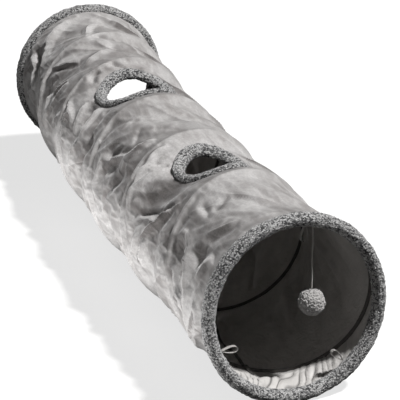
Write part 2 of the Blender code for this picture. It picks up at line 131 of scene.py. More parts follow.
SEAM_CLIMB_LENGTH = 0.006

# Peek holes: the body each ring rides on, the turn before it and its width amid the plush
PEEK_HOLES = (("near", 1, 0.124), ("far", 3, 0.150))
PEEK_ANGLE = math.radians(-3.0)
PEEK_SAG = 0.029
PEEK_SAG_WIDTH = 0.16
PEEK_FORWARD = 0.008
PEEK_TRIM_WIDTH = 0.0215
PEEK_TRIM_HEIGHT = 0.018

# Plush: faces round a ring and round its section, and the size and height of the soft lumps under its loops
RIM_FACES = (880, 64)
RIM_LUMPS = (0.018, 0.0022)
REAR_PLUMP = 0.002  # the rear rim's plush isn't pressed as flat as the front one's
RING_FACES = (380, 56)
RING_LUMPS = (0.016, 0.0022)
DARK_YARN_SHARE = 0.44

# Pompom
POMPOM_LOOPS = (0.0030, 0.0026)
POMPOM_LUMPS = (0.011, 0.0042)
POMPOM_YARN = 0.0026
POMPOM_DARK_SHARE = 0.2
POMPOM_SHADE = 0.45  # its dark yarn against its pale one
POMPOM_INSET = 0.0008  # leaves room for its loops
POMPOM_DENT = 0.0035  # where the string pulls it in
POMPOM_DENT_REACH = 0.004
STRING_LENGTH = 0.099
STRING_DIAMETER = 0.0012
STRING_SWAY = 0.0006
KNOT_RADIUS = 0.0025
KNOT_THICKNESS = STRING_DIAMETER * 1.1
LINE_ROUNDNESS = 3  # a wire's or string's section has four sides and twice this number

# Ribbons: the angle of each round the rim, and its droop
LOOPS = ((8.5, 0.0), (140.0, -6.0), (246.0, 22.0))
TIES = ((-14.0, 14.0), (113.0, -50.0), (224.0, -16.0))
RIBBON_WIDTH = 0.007
RIBBON_THICKNESS = 0.0006
RIBBON_Y = 0.006
LOOP_LENGTH = 0.025
LOOP_OPENING = 0.009
LOOP_ROOT = 0.001
TIE_LENGTH = 0.038
TIE_ROOT = 0.002
TIE_SPREAD = 0.030

# Cloth mesh
COLUMNS = 288
BAY_ROWS = 56
WELD = 0.00005  # corners nearer than this are one

# How the cover's creases are shaped
CREASE_CAP = 0.017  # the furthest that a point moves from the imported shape
CREASE_GAIN = 1.5
RIDGE_REACH = 1.7  # times its width
RIDGE_SHARPNESS = 1.2
VALLEY_REACH = 1.15
VALLEY_SHARPNESS = 1.6
CREASE_START = 0.22  # the share of its length over which a crease rises
CREST_START = 0.12  # and over which the painted highlight on its crest rises
CREASE_END = 0.70  # where it begins to die out
CREST_LIMIT = 0.04  # further off than this, a place belongs to no crest
FULL_CREST_MM = 5  # a ridge this high has the full painted highlight on its crest
WANDER = 0.004
WANDER_WAVES = 7
WANDER_ROUND = (3, 13)  # waves round the tube
WANDER_ALONG = (25, 110)  # radians for each metre along it
WANDER_SUM = 2.6  # how far that many waves usually add up to
LEFT_ANGLE = -1.35  # where the cloth hangs loosest
LEFT_REACH = 0.85
# Distances at which creases begin, and at which they are whole: from the wire, the rims and the rings
FREE_OF_WIRE = (0.0015, 0.0095)
FREE_OF_RIM = (RIM_HALF, RIM_HALF + 0.014)
FREE_OF_RING = (0.008, 0.020)

# Small creases between the main ones: waves round the tube, and radians for each metre along it
CRUMPLES = ((5, 24.0), (3, 44.0), (-4, 38.0), (8, 47.0))
CRUMPLE = 0.0036  # their height on the left side
CRUMPLE_LEAST = 0.35  # what is left of it on the right side
CRUMPLE_SHARPNESS = 1.4
CRUMPLE_MIDDLE = 0.3

# Seeded creases for the sides that the table below leaves out. Heights and widths are in mm.
LOOSE_STEP_DEG = 13.0
LOOSE_SHIFT_DEG = 6
LOOSE_HEIGHT = (1.6, 5.5)
LOOSE_WIDTH = (5, 11)
LOOSE_LOPSIDED = 0.4
# Shares of the way from one turn of the wire to the next: where they start, and how long they are
LOOSE_START_FRONT = (0.05, 0.18)
LOOSE_START_REAR = (0.82, 0.95)
LOOSE_REAR_SHARE = 0.6  # how many of them start beside the rear turn
LOOSE_LENGTH = (0.3, 0.7)
LOOSE_SWING_DEG = (14, 42)
LOOSE_BEND = 0.55  # how much of that swing they have made halfway
SEEN_DEG = (-118, 42)  # where the table has the creases
SEEN_SHARE = 0.3  # what is left of a seeded crease there

# Valleys beside each turn of the wire: mm before it, height and width in mm, and their line in degrees
WIRE_VALLEYS = ((13, -3.2, 9), (-14, -7.0, 12))
WIRE_VALLEY_LINE = (-34, -52, -72, -92, -110, -130)

# The lining's gathers at the foot of the mouth: places without them, and places where they are whole
GATHER_ANGLES = (0.992, 0.372)  # from the foot
GATHER_START = (RIM_HALF, RIM_HALF + 0.012)
GATHER_END = (0.0855, 0.0405)
GATHER_ROUND = 0.0056  # round the tube, for a radian of their wave
GATHER_ALONG = 0.008
GATHER_BLUNTNESS = 0.8

# The cover's main creases, each as its height (ridges up, valleys down) and width in mm, how much wider it is
# on one side, and its line over the cloth: degrees clockwise from the top, and mm from the front rim
CREASES = (
    (5.5, 9, 0.3, ((-55, 160), (-67, 125), (-73, 108), (-82, 104), (-92, 100), (-106, 96), (-114, 92))),
    (-6.0, 14, 0.0, ((-60, 165), (-70, 150), (-80, 140), (-92, 128))),
    (-3.5, 5, 0.3, ((-58, 158), (-50, 150), (-43, 134))),
    (5.0, 9, -0.3, ((-72, 78), (-63, 62), (-54, 48))),
    (-5.0, 13, 0.0, ((-66, 100), (-60, 88), (-54, 76))),
    (-2.8, 8, 0.0, ((-50, 100), (-40, 72), (-28, 58))),
    (1.8, 10, 0.0, ((-46, 112), (-38, 88), (-27, 72))),
    (-2.2, 5, 0.0, ((-32, 150), (-24, 152), (-16, 160))),
    (-2.0, 6, 0.0, ((-31, 185), (-34, 160), (-41, 138))),
    (4.0, 9, 0.0, ((-80, 168), (-86, 150), (-90, 125), (-98, 110), (-108, 100))),
    (3.0, 8, 0.0, ((-84, 60), (-92, 50), (-104, 46))),
    (-6.0, 9, 0.35, ((-38, 243), (-49, 250), (-57, 280), (-66, 328), (-71, 366), (-73, 385))),
    (4.0, 5, 0.0, ((-52, 246), (-60, 276), (-69, 326), (-75, 362))),
    (-4.0, 9, 0.0, ((-50, 236), (-62, 252), (-71, 266), (-82, 286), (-90, 296))),
    (6.0, 6, 0.0, ((-44, 240), (-56, 258), (-64, 276), (-72, 300), (-80, 322))),
    (4.0, 7, 0.0, ((-25, 378), (-40, 384), (-52, 393), (-63, 400))),
    (-3.0, 6, 0.0, ((-28, 388), (-41, 396), (-54, 404), (-64, 410))),
    (3.0, 6, 0.0, ((-30, 398), (-42, 408), (-55, 415), (-66, 420))),
    (5.0, 10, 0.0, ((-78, 330), (-90, 345), (-102, 350))),
    (5.0, 6, 0.0, ((-22, 428), (-34, 421), (-47, 413), (-58, 403), (-68, 392), (-76, 380))),
    (-4.0, 9, 0.0, ((-80, 360), (-92, 370), (-104, 372))),
    (4.0, 9, 0.0, ((-82, 300), (-96, 310), (-108, 318))),
    (7.0, 9, 0.3, ((-24, 492), (-38, 486), (-47, 500), (-54, 538), (-59, 562), (-64, 592))),
    (-4.0, 14, 0.0, ((-53, 590), (-56, 572), (-60, 560))),
    (-2.0, 6, 0.0, ((-26, 562), (-33, 540), (-38, 528))),
    (-7.0, 11, 0.0, ((-52, 476), (-62, 490), (-72, 506), (-82, 534), (-88, 548), (-96, 556))),
    (4.0, 7, 0.0, ((-60, 600), (-72, 590), (-84, 585), (-96, 580))),
    (-4.0, 8, 0.0, ((-66, 570), (-78, 566), (-90, 570))),
    (-6.0, 13, 0.0, ((-42, 800), (-50, 790), (-59, 776), (-68, 764))),
    (6.0, 7, 0.0, ((-40, 782), (-47, 766), (-56, 750), (-66, 740))),
    (-7.0, 13, 0.0, ((-36, 740), (-43, 726), (-51, 712), (-60, 704), (-72, 700))),
    (4.0, 6, 0.0, ((-44, 822), (-54, 818), (-64, 806), (-72, 792))),
    (5.0, 6, 0.0, ((-52, 895), (-57, 865), (-61, 848), (-66, 812))),
    (4.0, 6, 0.0, ((-61, 848), (-66, 862), (-74, 868))),
    (4.0, 5, 0.0, ((-71, 856), (-77, 850), (-80, 835))),
    (-5.0, 6, 0.0, ((-22, 905), (-27, 898), (-30, 880))),
    (-5.0, 5, 0.0, ((-12, 935), (-8, 915), (2, 905), (14, 905))),
    (3.0, 8, 0.0, ((-30, 915), (-20, 925), (-12, 925))),
    (-6.0, 10, 0.0, ((-56, 700), (-68, 706), (-80, 720), (-92, 730))),
    (5.0, 10, 0.0, ((-70, 760), (-84, 770), (-98, 775))),
    (-4.0, 9, 0.0, ((-80, 800), (-94, 806), (-104, 810))),
    (5.0, 9, 0.4, ((-53, 1098), (-44, 1070), (-36, 1045), (-28, 1024))),
    (-2.5, 8, 0.0, ((-50, 1080), (-42, 1050), (-34, 1026), (-28, 1010))),
    (-5.0, 6, 0.0, ((-46, 1000), (-54, 1012), (-64, 1026))),
    (4.0, 5, 0.0, ((-46, 988), (-55, 998), (-66, 1010))),
    (-5.0, 6, 0.0, ((-47, 974), (-56, 984), (-68, 996))),
    (4.0, 5, 0.0, ((-47, 962), (-57, 970), (-68, 980))),
    (4.0, 9, 0.0, ((-58, 1120), (-68, 1100), (-80, 1090), (-92, 1086))),
    (-6.0, 12, 0.0, ((-60, 1080), (-72, 1060), (-84, 1050), (-96, 1046))),
    (5.0, 8, 0.0, ((-66, 1040), (-80, 1026), (-94, 1020))),
    (3.0, 12, 0.0, ((0, 1040), (-15, 1010), (-30, 990))),
    (5.0, 13, 0.0, ((-18, 1292), (-33, 1272), (-46, 1244), (-56, 1198), (-62, 1160))),
    (4.0, 8, 0.0, ((-14, 1158), (-9, 1196), (4, 1216))),
    (-4.0, 9, 0.0, ((-12, 1146), (-2, 1114), (10, 1098), (28, 1090))),
    (4.0, 8, 0.0, ((-60, 1290), (-70, 1240), (-78, 1190), (-84, 1150))),
    (-5.0, 9, 0.0, ((-56, 1280), (-64, 1230), (-70, 1180))),
    (-4.0, 8, 0.0, ((-76, 1290), (-84, 1240), (-90, 1180))),
    (-3.0, 8, 0.0, ((6, 1200), (18, 1190), (30, 1196))),
)
# Soft bulges and hollows: height and reach in mm, degrees and mm as above
BULGES = (
    (-9.0, 36, -52, 318),
    (5.0, 34, -60, 400),
    (-5.0, 20, -39, 296),
    (-4.0, 24, -64, 140),
    (4.0, 24, -96, 136),
    (-4.0, 30, -58, 525),
    (6.0, 30, -84, 485),
    (-5.0, 28, -24, 1238),
    (3.5, 45, -12, 120),
    (3.0, 45, -20, 590),
)

# Painted light and shade in patches, mostly painted shade on the left side: how much paler, reach in mm,
# degrees and mm as above
PAINTED_LIGHT_AND_SHADE_PATCHES = (
    (-2.2, 24, -45, 316),
    (-1.6, 26, -55, 340),
    (-1.1, 34, -66, 180),
    (-0.9, 30, -73, 262),
    (-1.2, 30, -52, 706),
    (-0.9, 28, -60, 480),
    (-0.8, 30, -50, 1010),
    (0.7, 20, -44, 412),
    (0.6, 20, -62, 392),
)

# Painted light: paler where the cloth faces this way, near the key light; painted shade where it faces away
# and in hollows.
PAINTED_LIGHT_DIRECTION = (0.48, -0.38, 0.79)
PAINTED_LIGHT_CONTRAST = 4.2
PAINTED_SHADE_DEPTH = 0.022
# Painted highlight on the cloth at the wire and painted shade just behind it: how much paler, the distance
# behind the wire and the reach
WIRE_PAINTED_LIGHT = ((0.9, 0.0, 0.0035), (-0.9, 0.011, 0.006))
WIRE_PAINTED_LIGHT_START = (0.036, 0.096)  # from the rims: none yet, and all of it
# Painted shade in a dark band along the left shoulder: how much paler, its angle and its reach
SHOULDER_PAINTED_SHADE = (-0.95, -0.98, 0.42)
CRUMPLE_SHADE_LEAST = 0.3  # what is left on the right side of the small creases that the material draws as bumps and painted light and shade

# Camera, floor and light
CAMERA_PLACE = (-0.916, -2.6238, 1.2935)
CAMERA_TURN_DEG = (70.7, 0, -16.3)
CAMERA_SENSOR_MM = 36
CAMERA_LENS_MM = 181.62
FLOOR_SIZE = 16
FLOOR_MIDDLE = (0, 2, 0)
FLOOR_BOUNCE = 0.10  # how much of the floor's own paleness lights the tunnel from below
FLOOR_GLOW_SHARE = 0.72
FLOOR_GLOW = 1.03
KEY_DIRECTION = (0.37, -0.29, 0.88)
KEY_SPREAD_DEG = 5
PANEL_PLACE = (-0.36, 0.42, 0.012)
PANEL_SIZE = (0.30, 1.1)
WHITE = (1, 1, 1, 1)


def linear(hex_colour):
    """A screen colour as linear red, green and blue."""
    shares = [int(hex_colour[at : at + 2], 16) / 255 for at in (1, 3, 5)]
    return [share / 12.92 if share <= 0.04045 else ((share + 0.055) / 1.055) ** 2.4 for share in shares]


def colour_property(name, description, hex_colour):
    default = linear(hex_colour)
    return bpy.props.FloatVectorProperty(
        name=name, description=description, subtype="COLOR", size=3, min=0, max=1, default=default
    )


def length_property(name, description, default):
    return bpy.props.FloatProperty(
        name=name,
        description=description,
        default=default,
        min=0,
        precision=4,
        subtype="DISTANCE",
        unit="LENGTH",
    )


# What a user would change


class CatTunnelCloth(bpy.types.PropertyGroup):
    suede: colour_property("Suede", "Cover cloth where its nap is brushed flat", "#ABA9A8")
    brushed: colour_property("Brushed suede", "Cover cloth where its nap stands up", "#878381")
    # Painted shade: the colour that the suede takes where its painted light is lowest
    painted_shade: colour_property("Shaded suede", "Cover cloth where its nap is seen against its lie", "#45403E")
    lining: colour_property("Lining", "Thin cloth inside the tunnel", "#BEBBB8")
    pleat_depth: length_property("Pleat depth", "Depth of the lining's pleats in the mouth", 0.0060)


class CatTunnelPlush(bpy.types.PropertyGroup):
    pale: colour_property("Pale yarn", "The lighter yarn in the rims' plush", "#BCBBBA")
    dark: colour_property("Dark yarn", "The darker yarn in the rims' plush", "#1C1B1D")
    loop_size: length_property("Loop size", "Width of one loop of the plush", 0.0030)
    loop_height: length_property("Loop height", "How far the loops stand out", 0.0022)
    pompom: colour_property("Pompom", "Yarn of the hanging pompom", "#B5B2B0")


class CatTunnelTrim(bpy.types.PropertyGroup):
    tape: colour_property("Tape", "Woven tape over the wire and the seam", "#474340")
    ribbon: colour_property("Ribbon", "Loops on the front rim", "#BDBAB6")
    tie: colour_property("Tie", "Ties on the rear rim", "#161617")
    string: colour_property("String", "Twisted string of the pompom", "#E4E1DC")
    steel: colour_property("Steel", "Spring wire", "#A3A3A5")
    zinc: colour_property("Zinc", "Crimped sleeves on the wire's ends", "#C6C8CA")


class CatTunnelStage(bpy.types.PropertyGroup):
    floor: colour_property("Floor", "Floor under the tunnel", "#F4F3F1")
    key_light: bpy.props.FloatProperty(
        name="Key light", description="Strength of the light from above", default=5.0, min=0
    )
    fill_light: bpy.props.FloatProperty(
        name="Fill light", description="Strength of the light from all round", default=0.010, min=0
    )
    bounce_light: bpy.props.FloatProperty(
        name="Bounce light", description="Power of the low panel on the left, in watts", default=5.5, min=0
    )


# Where things are on the tube


def wrapped(angle):
    """An angle as one of at most half a turn from the top, either way."""
    return (angle + math.pi) % FULL_TURN - math.pi


def round_from(start, angle):
    """How far round the tube's surface a place is from where another angle is."""
    return TUBE_RADIUS * wrapped(angle - start)


def ramp(value, none, whole):
    """Nought up to one value and one from the other, with a straight slope between them."""
    return np.clip((value - none) / (whole - none), 0, 1)


def eased(share):
    return share**2 * (3 - 2 * share)


def bell(distance, reach):
    return np.exp(-((distance / reach) ** 2))


def turn_and_lean(share):
    """How far the tube is turned to the side and leans back at a share of its length."""
    turn = np.radians(FRONT_TURN_DEG + (REAR_TURN_DEG - FRONT_TURN_DEG) * share)
    return turn, np.radians(FRONT_LEAN_DEG + (REAR_LEAN_DEG - FRONT_LEAN_DEG) * share)


def place(angle, y, radius, along=0.0):
    """Points on the tube, as an array. The last number is a step along the tube's own direction there."""
    angle, y, radius, along = np.broadcast_arrays(angle, y, radius, along)
    share = y / TUNNEL_LENGTH
    turn, lean = turn_and_lean(share)
    across = radius * np.sin(angle)
    up = radius * np.cos(angle)
    back = along * np.cos(lean) + up * np.sin(lean)
    side = across * np.cos(turn) - back * np.sin(turn) - 4 * BEND * share * (1 - share)
    far = across * np.sin(turn) + back * np.cos(turn) + FRONT_RIM_Y + y
    return np.stack((side, far, up * np.cos(lean) - along * np.sin(lean) + AXIS_HEIGHT), axis=-1)


def rim_distance(y):
    return np.maximum(0, np.minimum(y, TUNNEL_LENGTH - y))


def spring_y(turns):
    """How far along the tube the wire is after this many turns from the front ring."""
    if turns <= 0:
        return RING_STEP * (turns + 0.5)
    if turns >= TURNS:
        return TUNNEL_LENGTH + RING_STEP * (turns - TURNS - 0.5)
    at = [share * TUNNEL_LENGTH for share in TURN_SHARES]
    at[0] += RING_STEP / 2
    at[-1] -= RING_STEP / 2
    rise = [RING_STEP] + [(at[k + 1] - at[k - 1]) / 2 for k in range(1, TURNS)] + [RING_STEP]
    k = int(turns)
    u = turns - k
    held = (1 + 2 * u) * (1 - u) ** 2 * at[k] + u * u * (3 - 2 * u) * at[k + 1]
    return held + u * (1 - u) ** 2 * rise[k] - u * u * (1 - u) * rise[k + 1]


TURN_TABLE = np.linspace(-1.5, TURNS + 1.5, 6001)
WIRE_TABLE = np.array([spring_y(turns) for turns in TURN_TABLE])


def wire_y(turns):
    return np.interp(turns, TURN_TABLE, WIRE_TABLE)


def turns_at(y):
    return np.interp(y, WIRE_TABLE, TURN_TABLE)


def turn_radius(y):
    """The cover's outer radius where it lies on the wire."""
    return TUBE_RADIUS - NARROWING * np.maximum(0, 1 - rim_distance(y) / NARROWING_LENGTH)


def peek_places():
    """The name, distance along the tube and width of each peek hole."""
    for name, turn_before, width in PEEK_HOLES:
        turns = turn_before + PEEK_ANGLE / FULL_TURN
        yield name, (wire_y(turns) + wire_y(turns + 1)) / 2 - PEEK_FORWARD, width


def off_hole(angle, y, hole_y):
    """How far a place on the cloth is from the middle of a peek hole."""
    return np.hypot(round_from(PEEK_ANGLE, angle), y - hole_y)


def cover_radius(angle, turns):
    """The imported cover's outer radius, level with the wire after this many turns."""
    y = wire_y(turns)
    between = (turns - angle / FULL_TURN) % 1
    fade = np.minimum(1, rim_distance(y) / SAG_FADE_LENGTH)
    sag = SAG * fade * (1 + FOLD_SHARE * np.cos(FOLDS * angle + FOLD_SLANT * FULL_TURN * turns))
    for _, hole_y, _ in peek_places():
        sag = sag + PEEK_SAG * bell(off_hole(angle, y, hole_y), PEEK_SAG_WIDTH / 2)
    return turn_radius(y) - sag * np.sin(math.pi * between)


# Modelling


def deselect():
    """Nothing is selected, so that the next operator acts on its own piece alone."""
    if bpy.context.object and bpy.context.object.mode != "OBJECT":
        bpy.ops.object.mode_set(mode="OBJECT")
    bpy.ops.object.select_all(action="DESELECT")


def named(name):
    """Names the piece that an operator has just added."""
    piece = bpy.context.object
    piece.name = name
    piece.data.name = name
    return piece


def take(piece):
    deselect()
    piece.select_set(True)
    bpy.context.view_layer.objects.active = piece


def corners(piece):
    spots = np.empty(3 * len(piece.data.vertices))
    piece.data.vertices.foreach_get("co", spots)
    return spots.reshape(-1, 3)


def move_corners(piece, spots):
    piece.data.vertices.foreach_set("co", np.ascontiguousarray(spots).reshape(-1))
    piece.data.update()


def keep_on_corners(piece, name, at, values):
    """Keeps a value for each corner, for the material to read."""
    kept = np.empty(len(piece.data.vertices))
    kept[at] = values
    piece.data.attributes.new(name, "FLOAT", "POINT").data.foreach_set("value", kept)


def choose(piece, chosen):
    """Goes into edit mode with these corners of a piece selected."""
    take(piece)
    bpy.ops.object.mode_set(mode="EDIT")
    bpy.ops.mesh.select_mode(type="VERT")
    bpy.ops.mesh.select_all(action="DESELECT")
    bpy.ops.object.mode_set(mode="OBJECT")
    piece.data.vertices.foreach_set("select", np.asarray(chosen, dtype=bool))
    bpy.ops.object.mode_set(mode="EDIT")


def done():
    bpy.ops.object.mode_set(mode="OBJECT")


def merged(piece):
    """Welds a piece's doubled corners and turns its faces outwards."""
    take(piece)
    bpy.ops.object.mode_set(mode="EDIT")
    bpy.ops.mesh.select_all(action="SELECT")
    bpy.ops.mesh.remove_doubles(threshold=WELD)
    bpy.ops.mesh.dissolve_degenerate(threshold=WELD / 5)
    bpy.ops.mesh.normals_make_consistent(inside=False)
    done()


def modified(piece, kind, **settings):
    """Adds a modifier with these settings and applies it."""
    take(piece)
    modifier = piece.modifiers.new(kind.lower(), kind)
    for name, value in settings.items():
        setattr(modifier, name, value)
    bpy.ops.object.modifier_apply(modifier=modifier.name)


def placed(piece):
    """Puts a piece's place into its mesh."""
    take(piece)
    bpy.ops.object.transform_apply(location=True, rotation=True, scale=True)


def smooth(piece):
    take(piece)
    bpy.ops.object.shade_smooth()


def grid_on(name, spots):
    """A grid of faces whose corners lie on these spots, an array of rows of points."""
    rows, columns = spots.shape[:2]
    deselect()
    bpy.ops.mesh.primitive_grid_add(x_subdivisions=columns - 1, y_subdivisions=rows - 1, size=1)
    piece = named(name)
    move_corners(piece, spots.reshape(-1, 3))
    return piece


def strip_on(name, spots, thickness):
    """A strip of tape or ribbon whose middle lies on these spots."""
    strip = grid_on(name, spots)
    modified(strip, "SOLIDIFY", thickness=thickness, offset=0.0)
    smooth(strip)
    return strip


def line_through(name, spots, diameter, cyclic=False):
    """A round wire or string through these points, as a mesh."""
    deselect()
    bpy.ops.curve.primitive_nurbs_path_add()
    piece = named(name)
    data = piece.data
    data.splines.clear()
    spline = data.splines.new("POLY")
    spline.points.add(len(spots) - 1)
    spline.points.foreach_set("co", np.column_stack((spots, np.ones(len(spots)))).reshape(-1))
    spline.use_cyclic_u = cyclic
    data.dimensions = "3D"
    data.bevel_depth = diameter / 2
    data.bevel_resolution = LINE_ROUNDNESS
    data.use_fill_caps = not cyclic
    bpy.ops.object.convert(target="MESH")
    return piece


def add_pile(piece, size, height, lump_size, lump_height):
    """Raises loops of yarn all over a piece, on soft lumps."""
    for part, kind, scale, strength, mid_level, settings in (
        ("lumps", "CLOUDS", lump_size, lump_height, 0.5, {"noise_depth": 1}),
        ("loops", "VORONOI", size, -height, 0.55, {"distance_metric": "DISTANCE", "noise_intensity": 1.2}),
    ):
        pattern = bpy.data.textures.new(f"{piece.name} {part}", kind)
        pattern.noise_scale = scale
        for setting, value in settings.items():
            setattr(pattern, setting, value)
        modified(
            piece, "DISPLACE", texture=pattern, texture_coords="LOCAL", strength=strength, mid_level=mid_level
        )
    smooth(piece)


def dress(piece, finish, body, node, slot):
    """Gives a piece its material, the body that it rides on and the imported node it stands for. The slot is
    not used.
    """
    piece.data.materials.clear()
    piece.data.materials.append(finish)
    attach(piece, body)
    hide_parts(node)


# Materials


def add_node(tree, kind, *inputs, output=None, **given):
    """Adds a shader node, and gives its first output or the one that is asked for.

    Inputs come in the node's own order, or by name with a capital, and another node's output is linked to its
    input. Names without a capital are the node's settings.
    """
    made = tree.nodes.new(f"ShaderNode{kind}")
    for name in filter(str.islower, given):
        setattr(made, name, given[name])
    filled = list(zip([socket for socket in made.inputs if socket.enabled], inputs))
    filled += [(made.inputs[name], value) for name, value in given.items() if not name.islower()]
    for socket, value in filled:
        if isinstance(value, bpy.types.NodeSocket):
            tree.links.new(value, socket)
        else:
            socket.default_value = value
    return made.outputs[output] if output else next(socket for socket in made.outputs if socket.enabled)


def new_finish(name, roughness, **uniform):
    """An empty material and its nodes. Values that are the same all over are set on the shader itself."""
    made = bpy.data.materials.new(name)
    made.use_nodes = True
    shader = made.node_tree.nodes["Principled BSDF"]
    shader.inputs["Roughness"].default_value = roughness
    for socket, value in uniform.items():
        shader.inputs[socket.replace("_", " ")].default_value = value
    return made, made.node_tree


def finished(made, colour, layers, heights, roughness=None):
    """Draws a material: layers of colour over its first one, and bumps.

    A layer shows where its pattern goes from one value to another, up to a share of its own colour. A bump
    has a height and its depth in metres, and the coarsest comes first.
    """
    tree = made.node_tree
    for pattern, none, whole, most, over in layers:
        share = add_node(tree, "MapRange", pattern, none, whole, 0.0, most)
        colour = add_node(tree, "Mix", share, colour, over, data_type="RGBA")
    below = {}
    for height, depth in heights:
        below["Normal"] = add_node(tree, "Bump", Height=height, Distance=depth, Strength=1.0, **below)
    shader = tree.nodes["Principled BSDF"]
    for name, value in (("Base Color", colour), ("Normal", below.get("Normal")), ("Roughness", roughness)):
        if value:
            tree.links.new(value, shader.inputs[name])
    return made


def rgba(colour, share=1.0):
    return (*[value * share for value in colour], 1.0)


def suede_cloth(looks):
    """Microsuede: a dull nap that shows pale and dark strokes where a hand has brushed it, under painted
    light and shade on its folds, crests and hollows.
    """
    made, tree = new_finish("Suede cloth", 0.92, Sheen_Weight=0.25, Sheen_Roughness=0.45)
    where = add_node(tree, "TexCoord", output="Object")
    # A hand's strokes lie along the tunnel: 17 mm wide and 56 mm long where a pattern's own scale is one
    stretched = add_node(tree, "Mapping", Vector=where, Scale=(60.0, 18.0, 60.0))
    patches = add_node(tree, "TexNoise", Vector=stretched, Scale=0.45, Detail=4.0)
    strokes = add_node(tree, "TexNoise", Vector=stretched, Scale=1.0, Detail=4.0, Distortion=0.8)
    creases = add_node(tree, "TexNoise", Vector=stretched, Scale=0.7, Detail=3.0, Distortion=0.3)
    # The nap's real grain is a third of a millimetre: it is drawn ten times as coarse, so that it shows
    nap = add_node(tree, "TexNoise", Vector=where, Scale=260.0, Detail=3.0, Roughness=0.75)
    ridges = {"noise_type": "RIDGED_MULTIFRACTAL", "Offset": 1.0, "Gain": 1.5}
    crumple = add_node(tree, "TexNoise", Vector=stretched, Scale=0.8, Detail=1.0, Roughness=0.5, **ridges)
    # The attribute nap holds painted light and shade, and crest and crest_force place a painted highlight and
    # painted shade at each fold's crest
    creased, crest, force, painted_light_and_shade = [
        add_node(tree, "Attribute", attribute_name=name, output="Fac")
        for name in ("creased", "crest", "crest_force", "nap")
    ]
    # A painted highlight along a fold's crest and painted shade on its far side: how much paler each is,
    # and the distances from the crest, in metres, over which it comes and goes
    for paler, outer, inner in (
        (0.75, (0.0024, 0.0002), (-0.0016, 0.0000)),
        (-0.60, (-0.016, -0.0030), (-0.0008, -0.0024)),
    ):
        part = add_node(tree, "MapRange", crest, *outer)
        for share in (add_node(tree, "MapRange", crest, *inner), force, paler):
            part = add_node(tree, "Math", part, share, operation="MULTIPLY")
        painted_light_and_shade = add_node(tree, "Math", painted_light_and_shade, part, operation="ADD")
    # The small ridged creases are drawn as bumps and also as painted light and shade
    ridged = add_node(tree, "MapRange", crumple, 0.6, 1.5, -0.13, 0.24)
    tilt = add_node(tree, "Math", ridged, creased, operation="MULTIPLY")
    painted_light_and_shade = add_node(tree, "Math", painted_light_and_shade, tilt, operation="ADD")
    layers = (
        (patches, 0.35, 0.65, 1.0, rgba(looks.brushed)),
        (strokes, 0.38, 0.66, 0.7, rgba(looks.suede, 1.15)),
        # Painted shade where the painted light field is low and painted light where it is high; the other
        # layers are the cloth's own tone
        (painted_light_and_shade, 0.62, 0.05, 0.95, rgba(looks.painted_shade)),
        (painted_light_and_shade, 0.6, 1.0, 0.7, rgba(looks.suede, 1.35)),
        (nap, 0.36, 0.64, 0.38, rgba(looks.brushed, 0.75)),
    )
    return finished(made, rgba(looks.suede), layers, ((creases, 0.0016), (tilt, 0.0030), (nap, 0.0004)))


def lining_cloth(looks):
    """Thin polyester taffeta: a faint crinkle, duller than the cover."""
    made, tree = new_finish("Lining taffeta", 0.72)
    where = add_node(tree, "TexCoord", output="Object")
    cloudy = add_node(tree, "TexNoise", Vector=where, Scale=35.0, Detail=4.0)
    crinkle = add_node(tree, "TexNoise", Vector=where, Scale=90.0, Detail=3.0, Distortion=1.0)
    # The gaps between the gathers are too narrow for the mesh, so their shade is drawn
    wave = add_node(tree, "Attribute", attribute_name="gather", output="Fac")
    for operation in ("SINE", "ABSOLUTE"):
        wave = add_node(tree, "Math", wave, operation=operation)
    reach = add_node(tree, "Attribute", attribute_name="gathered", output="Fac")
    gap = add_node(tree, "Math", add_node(tree, "MapRange", wave, 0.5, 0.1), reach, operation="MULTIPLY")
    layers = (
        (cloudy, 0.3, 0.7, 1.0, rgba(looks.lining, 0.82)),
        (gap, 0.0, 1.0, 0.85, rgba(looks.lining, 0.12)),
    )
    return finished(made, rgba(looks.lining), layers, ((crinkle, 0.002),))


def looped_plush(name, pale, dark, size, dark_share):
    """Looped plush knitted from two yarns: pale and dark flecks the size of its loops."""
    made, tree = new_finish(name, 0.95, Sheen_Weight=0.3, Sheen_Roughness=0.6)
    where = add_node(tree, "TexCoord", output="Object")
    loops = add_node(tree, "TexVoronoi", Vector=where, Scale=1.3 / size, Randomness=1.0)
    fleck = add_node(tree, "SeparateColor", loops.node.outputs["Color"])
    yarn = add_node(tree, "TexNoise", Vector=where, Scale=1.5 / size, Detail=2.0)
    worn = add_node(tree, "TexNoise", Vector=where, Scale=30.0, Detail=2.0)
    limit = add_node(tree, "MapRange", worn, 0.3, 0.7, dark_share - 0.08, dark_share + 0.08)
    less = add_node(tree, "Math", fleck, limit, operation="SUBTRACT")
    # The second layer is painted shade: darker towards each loop's edge, where the bump sinks between loops
    layers = ((less, -0.25, 0.25, 1.0, rgba(pale)), (loops, 0.25, 0.9, 0.75, rgba(dark, 0.7)))
    return finished(made, rgba(dark), layers, ((loops, -0.4 * size), (yarn, 0.3 * size)))


def woven(name, colour, roughness, scale):
    """Grosgrain ribbon or binding tape: dull, with ribs of thick thread across it.

    Its scale, over a UV map from end to end, gives 3.2 times as many ribs: 0.6 mm wide ones on a ribbon.
    """
    made, tree = new_finish(name, roughness, Sheen_Weight=0.1)
    where = add_node(tree, "UVMap", uv_map="UVMap")
    bands = {"wave_type": "BANDS", "bands_direction": "Y", "output": "Fac"}
    ribs = add_node(tree, "TexWave", Vector=where, Scale=scale, Distortion=0.3, Detail=1.0, **bands)
    return finished(made, rgba(colour), ((ribs, 0.0, 1.0, 0.45, rgba(colour, 0.55)),), ((ribs, 0.0003),))


